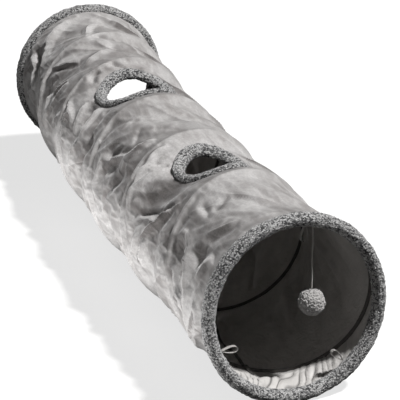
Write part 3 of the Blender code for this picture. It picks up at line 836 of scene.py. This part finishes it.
def twisted_cotton(colour):
    """Two-ply cotton string: matt, with a fluff that is darker where it lies deep."""
    made, tree = new_finish("Cotton string", 0.9, Sheen_Weight=0.2)
    where = add_node(tree, "TexCoord", output="Object")
    fluff = add_node(tree, "TexNoise", Vector=where, Scale=1400.0, Detail=2.0)
    return finished(made, rgba(colour), ((fluff, 0.3, 0.7, 1.0, rgba(colour, 0.75)),), ((fluff, 0.0002),))


def drawn_metal(name, colour, roughness, scale):
    """Drawn or crimped metal: fine scratches that break up its shine."""
    made, tree = new_finish(name, roughness, Metallic=1.0)
    where = add_node(tree, "TexCoord", output="Object")
    scratches = add_node(tree, "TexNoise", Vector=where, Scale=scale, Detail=3.0)
    rough = add_node(tree, "MapRange", scratches, 0.3, 0.7, roughness, roughness + 0.2)
    layers = ((scratches, 0.3, 0.7, 1.0, rgba(colour, 0.7)),)
    return finished(made, rgba(colour), layers, ((scratches, 0.00005),), rough)


def paper_floor(colour):
    """Matt backdrop paper. The camera sees it nearly white, and the object's shadow stays on it."""
    made, tree = new_finish("Backdrop paper", 1.0, Specular_IOR_Level=0.0)
    seen = add_node(tree, "LightPath", output="Is Camera Ray")
    finished(made, rgba(colour, FLOOR_BOUNCE), ((seen, 0.0, 1.0, 1.0, rgba(colour)),), ())
    factor = add_node(tree, "Math", seen, FLOOR_GLOW_SHARE, operation="MULTIPLY")
    white = add_node(tree, "Emission", Color=WHITE, Strength=FLOOR_GLOW)
    both = add_node(tree, "MixShader", factor, tree.nodes["Principled BSDF"].outputs[0], white)
    tree.links.new(both, tree.nodes["Material Output"].inputs[0])
    return made


# Cloth


class Cloth:
    """The creased cover as a net of points and outward directions, which all that is sewn to it follows."""

    spots = None
    outwards = None

    @classmethod
    def at(cls, angle, turns, depth=0.0):
        """Points on the cloth, or this deep below it."""
        angle, turns, depth = np.broadcast_arrays(angle % FULL_TURN, turns, depth)
        column = angle / FULL_TURN * COLUMNS
        row = (turns - angle / FULL_TURN + 1) * BAY_ROWS
        column_a = np.clip(column.astype(int), 0, COLUMNS - 1)
        row_a = np.clip(row.astype(int), 0, len(cls.spots) - 2)
        u = (column - column_a)[..., None]
        v = np.clip(row - row_a, 0, 1)[..., None]

        def between(net):
            low = net[row_a, column_a] * (1 - u) + net[row_a, column_a + 1] * u
            high = net[row_a + 1, column_a] * (1 - u) + net[row_a + 1, column_a + 1] * u
            return low * (1 - v) + high * v

        return between(cls.spots) - depth[..., None] * between(cls.outwards)


def cloth_net():
    """For each point of the net: its angle round the tube, the wire's turns level with it and its y."""
    column = np.arange(COLUMNS + 1)[None, :]
    row = np.arange(BAY_ROWS * (TURNS + 1) + 1)[:, None]
    angle = FULL_TURN * column / COLUMNS + 0 * row
    turns = np.clip(row / BAY_ROWS + angle / FULL_TURN - 1, 0, TURNS)
    y = np.clip(wire_y(turns), CLOTH_EDGE, TUNNEL_LENGTH - CLOTH_EDGE)
    return angle, turns_at(y), y


def nearest_corners(piece, spots):
    """The number of a piece's corner at each of these spots."""
    found = kdtree.KDTree(len(piece.data.vertices))
    for corner in piece.data.vertices:
        found.insert(corner.co, corner.index)
    found.balance()
    flat = [found.find(spot)[1] for spot in spots.reshape(-1, 3).tolist()]
    return np.array(flat).reshape(spots.shape[:-1])


def wandering(angle, y, seed, reach):
    """A smooth, seeded wander in metres, so that no crease runs ruler-straight."""
    random = np.random.default_rng(seed)
    total = 0 * y
    for _ in range(WANDER_WAVES):
        waves_round = random.integers(*WANDER_ROUND)
        waves_along = random.uniform(*WANDER_ALONG)
        total = total + np.sin(waves_round * angle + waves_along * y + random.uniform(0, FULL_TURN))
    return total * reach / WANDER_SUM


def near_line(angle, y, points):
    """For each place: its distance from a line over the cloth, its side of it, and its share along it."""
    first = math.radians(points[0][0])
    across = round_from(first, angle)
    line = np.array([(TUBE_RADIUS * (math.radians(degrees) - first), mm / 1000) for degrees, mm in points])
    for _ in range(2):
        cut = [0.75 * line[:-1] + 0.25 * line[1:], 0.25 * line[:-1] + 0.75 * line[1:]]
        line = np.vstack((line[:1], np.stack(cut, axis=1).reshape(-1, 2), line[-1:]))
    steps = np.diff(line, axis=0)
    lengths = np.hypot(steps[:, 0], steps[:, 1])
    starts = np.concatenate(([0], np.cumsum(lengths)[:-1]))
    nearest = np.full(y.shape, 1.0)
    side = np.ones(y.shape)
    share = np.zeros(y.shape)
    for (x0, y0), (dx, dy), length, start in zip(line, steps, lengths, starts):
        at = np.clip(((across - x0) * dx + (y - y0) * dy) / length**2, 0, 1)
        off_x = across - x0 - at * dx
        off_y = y - y0 - at * dy
        distance = np.hypot(off_x, off_y)
        closer = distance < nearest
        nearest = np.where(closer, distance, nearest)
        side = np.where(closer, np.sign(dx * off_y - dy * off_x), side)
        share = np.where(closer, (start + at * length) / lengths.sum(), share)
    return nearest, side, share


def fading(share, start):
    """How much of a crease there is at a share of its length: it rises at first and dies out at its end."""
    return ramp(share, 0, start) * ramp(share, 1, CREASE_END)


def fold_height(height, width, lopsided, distance, side, share):
    """One crease that dies out at both ends: a sharp ridge with flat sides, or a softer valley.

    Lopsided ones are wider on one side.
    """
    wide = width / 1000 * np.where(side > 0, 1 + lopsided, 1 - lopsided)
    if height > 0:
        section = np.clip(1 - distance / (RIDGE_REACH * wide), 0, 1) ** RIDGE_SHARPNESS
    else:
        section = np.exp(-((distance / (VALLEY_REACH * wide)) ** VALLEY_SHARPNESS))
    return height / 1000 * section * np.sqrt(fading(share, CREASE_START))


def loose_folds():
    """Seeded creases for the sides that the table leaves out: each starts beside a turn of the wire."""
    random = np.random.default_rng(23)
    for bay in range(TURNS):
        for degrees in np.arange(-175, 185, LOOSE_STEP_DEG):
            degrees += random.uniform(-LOOSE_SHIFT_DEG, LOOSE_SHIFT_DEG)
            turns = bay + degrees / 360 + (degrees < 0)
            low, high = wire_y(turns - 1 + (degrees >= 0)), wire_y(turns + (degrees >= 0))
            from_rear = random.uniform() < LOOSE_REAR_SHARE
            start = random.uniform(*(LOOSE_START_REAR if from_rear else LOOSE_START_FRONT))
            end = start + random.uniform(*LOOSE_LENGTH) * (-1 if from_rear else 1)
            swing = random.uniform(*LOOSE_SWING_DEG) * (1 if from_rear else -1)
            height = random.choice((-1, 1)) * random.uniform(*LOOSE_HEIGHT)
            if SEEN_DEG[0] < degrees < SEEN_DEG[1]:
                height *= SEEN_SHARE
            points = [
                (degrees + swing * sideways, 1000 * (low + (high - low) * along))
                for sideways, along in ((0, start), (LOOSE_BEND, (start + end) / 2), (1, end))
            ]
            width = random.uniform(*LOOSE_WIDTH)
            yield height, width, random.uniform(-LOOSE_LOPSIDED, LOOSE_LOPSIDED), points


def wire_valleys():
    """On the left side the cloth folds over each turn of the wire, and falls steeply before and behind it."""
    for turn in range(1, TURNS):
        for ahead, height, width in WIRE_VALLEYS:
            points = [(degrees, 1000 * wire_y(turn + degrees / 360) - ahead) for degrees in WIRE_VALLEY_LINE]
            yield height, width, 0.0, points


def left_side(angle):
    """One on the tunnel's left side, where the cloth hangs loosest, and falling to nought on the right."""
    return bell(wrapped(angle) - LEFT_ANGLE, LEFT_REACH)


def crumpled(angle, y):
    """Small sharp creases in four slants, in patches, as a share of their full height."""
    random = np.random.default_rng(41)
    total = 0 * y
    for waves_round, waves_along in CRUMPLES:
        seeds = [int(random.integers(1000)) for _ in range(3)]
        bent = wandering(angle, y, seeds[0], 0.9) + wandering(angle, 2.3 * y, seeds[1], 0.5)
        patch = 0.5 + 0.5 * np.tanh(120 * wandering(angle, y, seeds[2], 0.01))
        ridge = 1 - np.abs(np.sin(waves_round * angle + waves_along * y + bent))
        ridge = ridge**CRUMPLE_SHARPNESS - CRUMPLE_MIDDLE
        total = total + patch * ridge / math.sqrt(1 + abs(waves_round) / 8)
    return total


def soft_spots(table, angle, y):
    """The soft patches of a table, each a height, its reach, and its place in degrees and mm."""
    total = 0 * y
    for height, reach, degrees, mm in table:
        off = np.hypot(round_from(math.radians(degrees), angle), y - mm / 1000)
        total = total + height * bell(off, reach / 1000)
    return total


def behind_wire(angle, y):
    """How far behind the nearest turn of the wire a place is."""
    level = turns_at(y)
    bay = (wire_y(level + 0.01) - wire_y(level - 0.01)) / 0.02
    return ((level - angle / FULL_TURN + 0.5) % 1 - 0.5) * bay


def crease_field(angle, y):
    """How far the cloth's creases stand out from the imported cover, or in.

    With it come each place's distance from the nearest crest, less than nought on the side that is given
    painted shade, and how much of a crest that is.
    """
    bent_angle = angle + wandering(angle, y, 5, WANDER) / TUBE_RADIUS
    bent_y = y + wandering(angle, y, 11, WANDER)
    total = 0 * y
    crest = np.full(y.shape, CREST_LIMIT)
    force = 0 * y
    for height, width, lopsided, points in (*CREASES, *loose_folds(), *wire_valleys()):
        distance, side, share = near_line(bent_angle, bent_y, points)
        total = total + fold_height(height, width, lopsided, distance, side, share)
        closer = (distance < np.abs(crest)) & (height > 0)
        down = TUBE_RADIUS * math.radians(points[-1][0] - points[0][0])
        back = (points[-1][1] - points[0][1]) / 1000
        lit = np.sign(PAINTED_LIGHT_DIRECTION[1] * down - PAINTED_LIGHT_DIRECTION[2] * back) or 1
        crest = np.where(closer, distance * side * lit, crest)
        force = np.where(closer, min(1, height / FULL_CREST_MM) * fading(share, CREST_START), force)
    small = CRUMPLE_LEAST + (1 - CRUMPLE_LEAST) * left_side(angle)
    total = CREASE_GAIN * total + CRUMPLE * crumpled(angle, y) * small
    total = total + soft_spots(BULGES, bent_angle, bent_y) / 1000
    free = ramp(np.abs(behind_wire(angle, y)), *FREE_OF_WIRE) * ramp(rim_distance(y), *FREE_OF_RIM)
    for _, hole_y, width in peek_places():
        free = free * ramp(np.abs(off_hole(angle, y, hole_y) - width / 2), *FREE_OF_RING)
    return CREASE_CAP * np.tanh(total * eased(free) / CREASE_CAP), crest, force


def painted_light_field(angle, y, creases):
    """How pale the suede is painted at each place: painted light and shade by how the cloth faces the light
    and how deep its hollows are, at and behind the wire, along the left shoulder and in listed patches.
    """
    lean = (Cloth.outwards - place(angle, y, 1.0) + place(angle, y, 0.0)) @ np.array(PAINTED_LIGHT_DIRECTION)
    behind = behind_wire(angle, y)
    painted_at_wire = sum(paler * bell(behind - at, reach) for paler, at, reach in WIRE_PAINTED_LIGHT)
    lean = PAINTED_LIGHT_CONTRAST * lean + creases / PAINTED_SHADE_DEPTH
    lean = lean + painted_at_wire * ramp(rim_distance(y), *WIRE_PAINTED_LIGHT_START) * left_side(angle)
    paler, middle, reach = SHOULDER_PAINTED_SHADE
    lean = lean + paler * bell(wrapped(angle) - middle, reach) + soft_spots(PAINTED_LIGHT_AND_SHADE_PATCHES, angle, y)
    return 0.5 + 0.5 * np.tanh(lean)


def make_cover_net():
    """The cover's creased mesh, its corner at each point of the net, and the places of these."""
    angle, turns, y = cloth_net()
    radius = cover_radius(angle, turns)
    cover = grid_on("suede_cover", place(angle, y, radius))
    merged(cover)
    at = nearest_corners(cover, place(angle, y, radius))
    creases, crest, force = crease_field(angle, y)
    spots = np.empty((len(cover.data.vertices), 3))
    spots[at] = place(angle, y, radius + creases)
    move_corners(cover, spots)
    Cloth.spots = spots[at]
    Cloth.outwards = np.array([corner.normal[:] for corner in cover.data.vertices])[at]
    creased = CRUMPLE_SHADE_LEAST + (1 - CRUMPLE_SHADE_LEAST) * left_side(angle)
    # The attribute nap carries painted light and shade to the material
    kept = {"nap": painted_light_field(angle, y, creases), "creased": creased, "crest": crest, "crest_force": force}
    for name, values in kept.items():
        keep_on_corners(cover, name, at, values)
    return cover, at, angle, y


def cut_holes(piece, at, angle, y):
    """Opens the cloth inside each ring of plush."""
    inside = np.zeros(len(piece.data.vertices), dtype=bool)
    for _, hole_y, width in peek_places():
        inside[at[off_hole(angle, y, hole_y) < width / 2]] = True
    choose(piece, inside)
    bpy.ops.mesh.delete(type="FACE")
    done()


def gathered(angle, y):
    """How strongly the lining is gathered, which it is at the bottom of the mouth."""
    return ramp(np.abs(angle - math.pi), *GATHER_ANGLES) * ramp(y, *GATHER_START) * ramp(y, *GATHER_END)


def gather_turn(angle, y):
    """The phase of the lining's gathers, half a turn for each. They are neither even nor straight."""
    uneven = 1.7 * np.sin(7 * angle) + 0.9 * np.sin(19 * angle + 25 * y)
    return angle * TUBE_RADIUS / GATHER_ROUND + y / GATHER_ALONG + uneven


class CATTUNNEL_OT_cloth(bpy.types.Operator):
    """Lays the suede cover and the lining over the wire, with their creases and peek holes"""

    bl_idname = "cat_tunnel.cloth"
    bl_label = "Cover and lining"

    def execute(self, context):
        looks = context.scene.cat_tunnel_cloth
        cover, at, angle, y = make_cover_net()
        take(cover)
        bpy.ops.object.duplicate()
        lining = named("tunnel_lining")
        within = np.empty((len(lining.data.vertices), 3))
        gathers = np.abs(np.sin(gather_turn(angle, y))) ** GATHER_BLUNTNESS
        depth = LINING_DEPTH + looks.pleat_depth * gathered(angle, y) * gathers
        within[at] = Cloth.spots - depth[..., None] * Cloth.outwards
        move_corners(lining, within)
        keep_on_corners(lining, "gather", at, gather_turn(angle, y))
        keep_on_corners(lining, "gathered", at, gathered(angle, y))
        for piece, finish, node, slot in (
            (cover, suede_cloth(looks), "cover", "suede"),
            (lining, lining_cloth(looks), "lining", "lining"),
        ):
            cut_holes(piece, at, angle, y)
            smooth(piece)
            dress(piece, finish, "front_end", node, slot)
            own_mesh(piece)
        return {"FINISHED"}


# Wire


def spring_points():
    turns = np.arange(-WIRE_STEPS - 4, WIRE_STEPS * (TURNS + 1) + 5) / WIRE_STEPS
    y = wire_y(turns)
    return place(FULL_TURN * turns, y, turn_radius(y) - WIRE_DEPTH)


def casing_tape():
    """The tape over the wire, humped along its middle."""
    turns = np.linspace(CASING_START, TURNS - CASING_START, int(WIRE_STEPS * (TURNS - 2 * CASING_START)))
    rows = np.array(CASING_ROWS)
    y = wire_y(turns)[:, None] + rows * CASING_WIDTH / 2
    depth = TAPE_DEPTH + CASING_HUMP * np.exp(-((rows / CASING_HUMP_REACH) ** 4))
    spots = Cloth.at(FULL_TURN * turns[:, None], turns_at(y), depth)
    return strip_on("wire_casing_tape", spots, TAPE_THICKNESS)


def seam_tape():
    """The tape over the lining's lengthwise seam, which climbs over the casing at each turn."""
    start = RIM_HALF + GAP
    y = np.linspace(start, TUNNEL_LENGTH - start, SEAM_TAPE_STEPS)
    level = turns_at(y)
    away = np.abs((level - SEAM_ANGLE / FULL_TURN + 0.5) % 1 - 0.5) * np.gradient(y, level)
    climb = ramp(away, CASING_WIDTH / 2 + SEAM_CLIMB_LENGTH, CASING_WIDTH / 2)
    depth = TAPE_DEPTH + SEAM_CLIMB * eased(climb)
    angle = SEAM_ANGLE + np.array(SEAM_TAPE_ROWS) * SEAM_TAPE_WIDTH / TUBE_RADIUS
    return strip_on("lining_seam_tape", Cloth.at(angle, level[:, None], depth[:, None]), TAPE_THICKNESS)


class CATTUNNEL_OT_wire(bpy.types.Operator):
    """Winds the spring wire, and sews the casing over it and the tape over the lining's seam"""

    bl_idname = "cat_tunnel.wire"
    bl_label = "Wire, casing and seam tape"

    def execute(self, context):
        looks = context.scene.cat_tunnel_trim
        wire = line_through("spring_coil", spring_points(), WIRE_DIAMETER)
        smooth(wire)
        steel = drawn_metal("Spring steel", looks.steel, 0.35, 700.0)
        tape = woven("Binding tape", looks.tape, 0.85, 700.0)
        for piece, finish, node, slot in (
            (wire, steel, "spring_wire", "steel"),
            (casing_tape(), tape, "wire_casing", "tape"),
            (seam_tape(), tape, "seam_tape", "tape"),
        ):
            dress(piece, finish, "front_end", node, slot)
            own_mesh(piece)
        zinc = drawn_metal("Zinc-plated sleeve", looks.zinc, 0.4, 500.0)
        for name in ("wire_ferrule_front", "wire_ferrule_rear"):
            frame["nodes"][name].material_slots[0].material = zinc
        return {"FINISHED"}


# Plush


def plush_ring(name, middle_radius, half_across, half_along, faces):
    """A ring with an oval section, lying flat round the Z axis, with a little room left for its loops."""
    loops = bpy.context.scene.cat_tunnel_plush.loop_height / 4
    deselect()
    bpy.ops.mesh.primitive_torus_add(
        major_segments=faces[0],
        minor_segments=faces[1],
        major_radius=middle_radius,
        minor_radius=half_across - loops,
    )
    ring = named(name)
    bpy.ops.transform.resize(value=(1, 1, (half_along - loops) / (half_across - loops)))
    placed(ring)
    return ring


class CATTUNNEL_OT_rims(bpy.types.Operator):
    """Binds both ends of the tunnel with a rim of looped plush"""

    bl_idname = "cat_tunnel.rims"
    bl_label = "Plush rims"

    def execute(self, context):
        looks = context.scene.cat_tunnel_plush
        plush = looped_plush("Looped plush", looks.pale, looks.dark, looks.loop_size, DARK_YARN_SHARE)
        for name, y, plump, body, node in (
            ("front_rim_plush", 0.0, 0.0, "front_end", "front_rim_trim"),
            ("rear_rim_plush", TUNNEL_LENGTH, REAR_PLUMP, "rear_end", "rear_rim_trim"),
        ):
            half = RIM_THICKNESS / 2
            rim = plush_ring(name, RIM_RADIUS - half + plump / 2, half + plump, RIM_HALF + plump, RIM_FACES)
            spots = corners(rim)
            angle = np.arctan2(spots[:, 0], spots[:, 1])
            move_corners(rim, place(angle, y, np.hypot(spots[:, 0], spots[:, 1]), spots[:, 2]))
            merged(rim)
            add_pile(rim, looks.loop_size, looks.loop_height, *RIM_LUMPS)
            choose(rim, corners(rim)[:, 2] < 0.0)
            bpy.ops.transform.resize(value=(1, 1, 0), center_override=(0, 0, 0))
            done()
            dress(rim, plush, body, node, "plush")
        return {"FINISHED"}


class CATTUNNEL_OT_peek_trims(bpy.types.Operator):
    """Binds each peek hole with a ring of looped plush that follows the cloth"""

    bl_idname = "cat_tunnel.peek_trims"
    bl_label = "Peek hole trims"

    def execute(self, context):
        looks = context.scene.cat_tunnel_plush
        plush = looped_plush("Looped plush trim", looks.pale, looks.dark, looks.loop_size, DARK_YARN_SHARE)
        for name, hole_y, width in peek_places():
            section = (PEEK_TRIM_WIDTH / 2, PEEK_TRIM_HEIGHT / 2)
            ring = plush_ring(f"peek_ring_{name}", width / 2, *section, RING_FACES)
            spots = corners(ring)
            angle = PEEK_ANGLE + spots[:, 0] / TUBE_RADIUS
            y = hole_y + spots[:, 1]
            move_corners(ring, place(angle, y, cover_radius(angle, turns_at(y)) + spots[:, 2]))
            merged(ring)
            add_pile(ring, looks.loop_size, looks.loop_height, *RING_LUMPS)
            dress(ring, plush, f"peek_{name}", f"peek_trim_{name}", "plush")
            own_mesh(ring)
        return {"FINISHED"}


# Pompom


def joint_place(name):
    return Vector(next(joint["pos_m"] for joint in frame["joints"] if joint["name"] == name))


def make_knot(middle):
    """The string's knot: a trefoil."""
    share = np.linspace(0, FULL_TURN, 73)[:-1]
    trefoil = np.stack(
        (
            np.sin(share) + 2 * np.sin(2 * share),
            np.cos(share) - 2 * np.cos(2 * share),
            -np.sin(3 * share) * 2,
        ),
        axis=-1,
    )
    size = (KNOT_RADIUS - STRING_DIAMETER / 2) / 3
    knot = line_through("knot_of_string", trefoil * size + np.array(middle), KNOT_THICKNESS, True)
    merged(knot)
    smooth(knot)
    return knot


def make_pompom(finish):
    """A ball of loops, pulled in where the string goes into it."""
    low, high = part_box("pompom")
    middle = (Vector(low) + Vector(high)) / 2
    radius = (high[2] - low[2]) / 2 - POMPOM_INSET
    deselect()
    bpy.ops.mesh.primitive_ico_sphere_add(subdivisions=6, radius=radius, location=middle)
    pompom = named("plush_pompom")
    placed(pompom)
    add_pile(pompom, *POMPOM_LOOPS, *POMPOM_LUMPS)
    spots = corners(pompom)
    off = np.hypot(spots[:, 0] - middle[0], spots[:, 1] - middle[1])
    spots[:, 2] -= (spots[:, 2] > middle[2]) * POMPOM_DENT * bell(off, POMPOM_DENT_REACH)
    move_corners(pompom, spots)
    dress(pompom, finish, "ball", "pompom", "pompom_plush")
    return pompom


def make_tab():
    """A tab of ribbon, folded round the knot."""
    low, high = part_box("hang_tab")
    half = (high[0] - low[0]) / 2 - RIBBON_THICKNESS / 2
    foot = low[2] + half + RIBBON_THICKNESS / 2
    middle = (low[0] + high[0]) / 2
    outline = [(-half * math.cos(turn), foot - half * math.sin(turn)) for turn in np.linspace(0, math.pi, 17)]
    outline = [(-half, high[2]), *outline, (half, high[2])]
    across = np.linspace(low[1], high[1], 5)
    spots = np.array([[(middle + x, y, z) for y in across] for x, z in outline])
    return strip_on("string_tab", spots, RIBBON_THICKNESS)


class CATTUNNEL_OT_pompom(bpy.types.Operator):
    """Hangs the pompom on its string, knotted through a ribbon tab behind the front rim"""

    bl_idname = "cat_tunnel.pompom"
    bl_label = "Pompom, string and tab"

    def execute(self, context):
        yarn = context.scene.cat_tunnel_plush.pompom
        trim = context.scene.cat_tunnel_trim
        cotton = twisted_cotton(trim.string)
        pivot = joint_place("ball_fore_aft")
        dress(make_knot(pivot), cotton, "knot", "string_knot", "string")

        top = np.array(pivot) - (0, 0, KNOT_RADIUS + GAP)
        down = np.linspace(0, 1, 100)
        path = top - np.outer(down * STRING_LENGTH, (0, 0, 1))
        path[:, 0] += STRING_SWAY * np.sin(down * math.pi) * np.sin(down * 9)
        string = line_through("pompom_string", path, STRING_DIAMETER)
        smooth(string)
        dress(string, cotton, "ball", "ball_string", "string")

        dark = [value * POMPOM_SHADE for value in yarn]
        pompom = make_pompom(looped_plush("Pompom plush", yarn, dark, POMPOM_YARN, POMPOM_DARK_SHARE))
        dress(make_tab(), woven("Tab ribbon", trim.ribbon, 0.6, 12.0), "front_end", "hang_tab", "ribbon")
        return {"FINISHED"}


# Ribbons


def loop_outline():
    """A loop of ribbon, from its root at the rim out to its tip and back."""
    for share in np.linspace(0, 1, 49):
        side = LOOP_ROOT / 2 * math.cos(math.pi * share) + LOOP_OPENING / 2 * math.sin(FULL_TURN * share)
        yield side, -LOOP_LENGTH * math.sin(math.pi * share)


def tie_outline():
    """A ribbon sewn on at its middle, with two tails that spread."""
    tail = []
    for share in np.linspace(0, 1, 21):
        side = TIE_ROOT / 2 + (TIE_SPREAD - TIE_ROOT) / 2 * share**2
        tail.append((side, -TIE_LENGTH * share))
    return [(-side, along) for side, along in reversed(tail)] + tail


def ribbon_at(name, outline, root, y, angle_deg, droop_deg):
    """A ribbon bent along an outline, with its width along the tunnel."""
    turn, lean = turn_and_lean(y / TUNNEL_LENGTH)
    stand = Matrix.Rotation(turn, 3, "Z") @ Matrix.Rotation(-lean, 3, "X")
    for degrees in (angle_deg, droop_deg):
        stand = stand @ Matrix.Rotation(math.radians(degrees), 3, "Y")
    across = np.linspace(-RIBBON_WIDTH / 2, RIBBON_WIDTH / 2, 9)
    spots = [[root + stand @ Vector((x, step, z)) for step in across] for x, z in outline]
    return strip_on(name, np.array(spots), RIBBON_THICKNESS)


class CATTUNNEL_OT_ribbons(bpy.types.Operator):
    """Sews the loops to the front rim and the ties to the rear one"""

    bl_idname = "cat_tunnel.ribbons"
    bl_label = "Loops and ties"

    def execute(self, context):
        looks = context.scene.cat_tunnel_trim
        pale = woven("Grosgrain ribbon", looks.ribbon, 0.6, 28.0)
        black = woven("Black grosgrain", looks.tie, 0.6, 40.0)
        for kind, end, places, outline, y, finish, slot in (
            ("loop", "front", LOOPS, loop_outline, RIBBON_Y, pale, "ribbon"),
            ("tie", "rear", TIES, tie_outline, TUNNEL_LENGTH - RIBBON_Y, black, "dark_ribbon"),
        ):
            for number, (angle, droop) in enumerate(places, 1):
                root = joint_place(f"{kind}_{number}_swing")
                ribbon = ribbon_at(f"ribbon_{kind}_{number}", outline(), root, y, angle, droop)
                dress(ribbon, finish, f"{kind}_{number}", f"{end}_{kind}_{number}", slot)
        return {"FINISHED"}


# Stage


class CATTUNNEL_OT_stage(bpy.types.Operator):
    """Sets up the camera, the floor and the light"""

    bl_idname = "cat_tunnel.stage"
    bl_label = "Camera, floor and light"

    def execute(self, context):
        scene = context.scene
        looks = scene.cat_tunnel_stage
        deselect()
        turned = [math.radians(degrees) for degrees in CAMERA_TURN_DEG]
        bpy.ops.object.camera_add(location=CAMERA_PLACE, rotation=turned)
        camera = named("Camera")
        camera.data.sensor_width = CAMERA_SENSOR_MM
        camera.data.lens = CAMERA_LENS_MM
        scene.camera = camera

        deselect()
        bpy.ops.mesh.primitive_plane_add(size=FLOOR_SIZE, location=FLOOR_MIDDLE)
        floor = named("floor")
        placed(floor)
        floor.data.materials.append(paper_floor(looks.floor))
        floor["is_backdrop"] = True

        towards = Vector(KEY_DIRECTION)
        deselect()
        bpy.ops.object.light_add(
            type="SUN", location=towards * 3, rotation=towards.to_track_quat("Z", "Y").to_euler()
        )
        sun = named("Key light")
        sun.data.energy = looks.key_light
        sun.data.angle = math.radians(KEY_SPREAD_DEG)

        deselect()
        bpy.ops.object.light_add(type="AREA", location=PANEL_PLACE, rotation=(math.pi, 0, 0))
        panel = named("Bounce panel")
        panel.data.shape = "RECTANGLE"
        panel.data.size, panel.data.size_y = PANEL_SIZE
        panel.data.energy = looks.bounce_light
        panel.visible_camera = False

        world = bpy.data.worlds.new("Studio")
        scene.world = world
        world.use_nodes = True
        tree = world.node_tree
        clear = add_node(tree, "LightPath", output="Is Camera Ray")
        rays = clear.node.outputs
        for ray in ("Is Glossy Ray", "Is Transmission Ray"):
            clear = add_node(tree, "Math", clear, rays[ray], operation="MAXIMUM")
        background = tree.nodes["Background"]
        background.inputs["Color"].default_value = WHITE
        strength = add_node(tree, "MapRange", clear, 0.0, 1.0, looks.fill_light, 1.0)
        tree.links.new(strength, background.inputs["Strength"])
        scene.view_settings.view_transform = "Standard"
        return {"FINISHED"}


class CATTUNNEL_PT_build(bpy.types.Panel):
    """Lists the tunnel's pieces, and the sizes and colours that they are built with"""

    bl_idname = "CATTUNNEL_PT_build"
    bl_label = "Cat tunnel"
    bl_space_type = "VIEW_3D"
    bl_region_type = "UI"
    bl_category = "Cat tunnel"

    def draw(self, context):
        for operator in OPERATORS:
            self.layout.operator(operator.bl_idname)
        for group in GROUPS:
            looks = getattr(context.scene, group)
            box = self.layout.box()
            for name in GROUPS[group].__annotations__:
                box.prop(looks, name)


OPERATORS = (
    CATTUNNEL_OT_stage,
    CATTUNNEL_OT_cloth,
    CATTUNNEL_OT_wire,
    CATTUNNEL_OT_rims,
    CATTUNNEL_OT_peek_trims,
    CATTUNNEL_OT_pompom,
    CATTUNNEL_OT_ribbons,
)
GROUPS = {
    "cat_tunnel_cloth": CatTunnelCloth,
    "cat_tunnel_plush": CatTunnelPlush,
    "cat_tunnel_trim": CatTunnelTrim,
    "cat_tunnel_stage": CatTunnelStage,
}


def register():
    for made in (*GROUPS.values(), *OPERATORS, CATTUNNEL_PT_build):
        bpy.utils.register_class(made)
    for name, group in GROUPS.items():
        setattr(bpy.types.Scene, name, bpy.props.PointerProperty(type=group))


def unregister():
    for name in GROUPS:
        delattr(bpy.types.Scene, name)
    for made in (CATTUNNEL_PT_build, *reversed(OPERATORS), *reversed(GROUPS.values())):
        bpy.utils.unregister_class(made)


def main():
    register()
    for operator in OPERATORS:
        group, name = operator.bl_idname.split(".")
        getattr(getattr(bpy.ops, group), name)()
    boxes = {"cad": CAD_BOX, "visual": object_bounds()}
    {name: [list(corner) for corner in box] for name, box in boxes.items()}


if __name__ == "__main__":
    main()
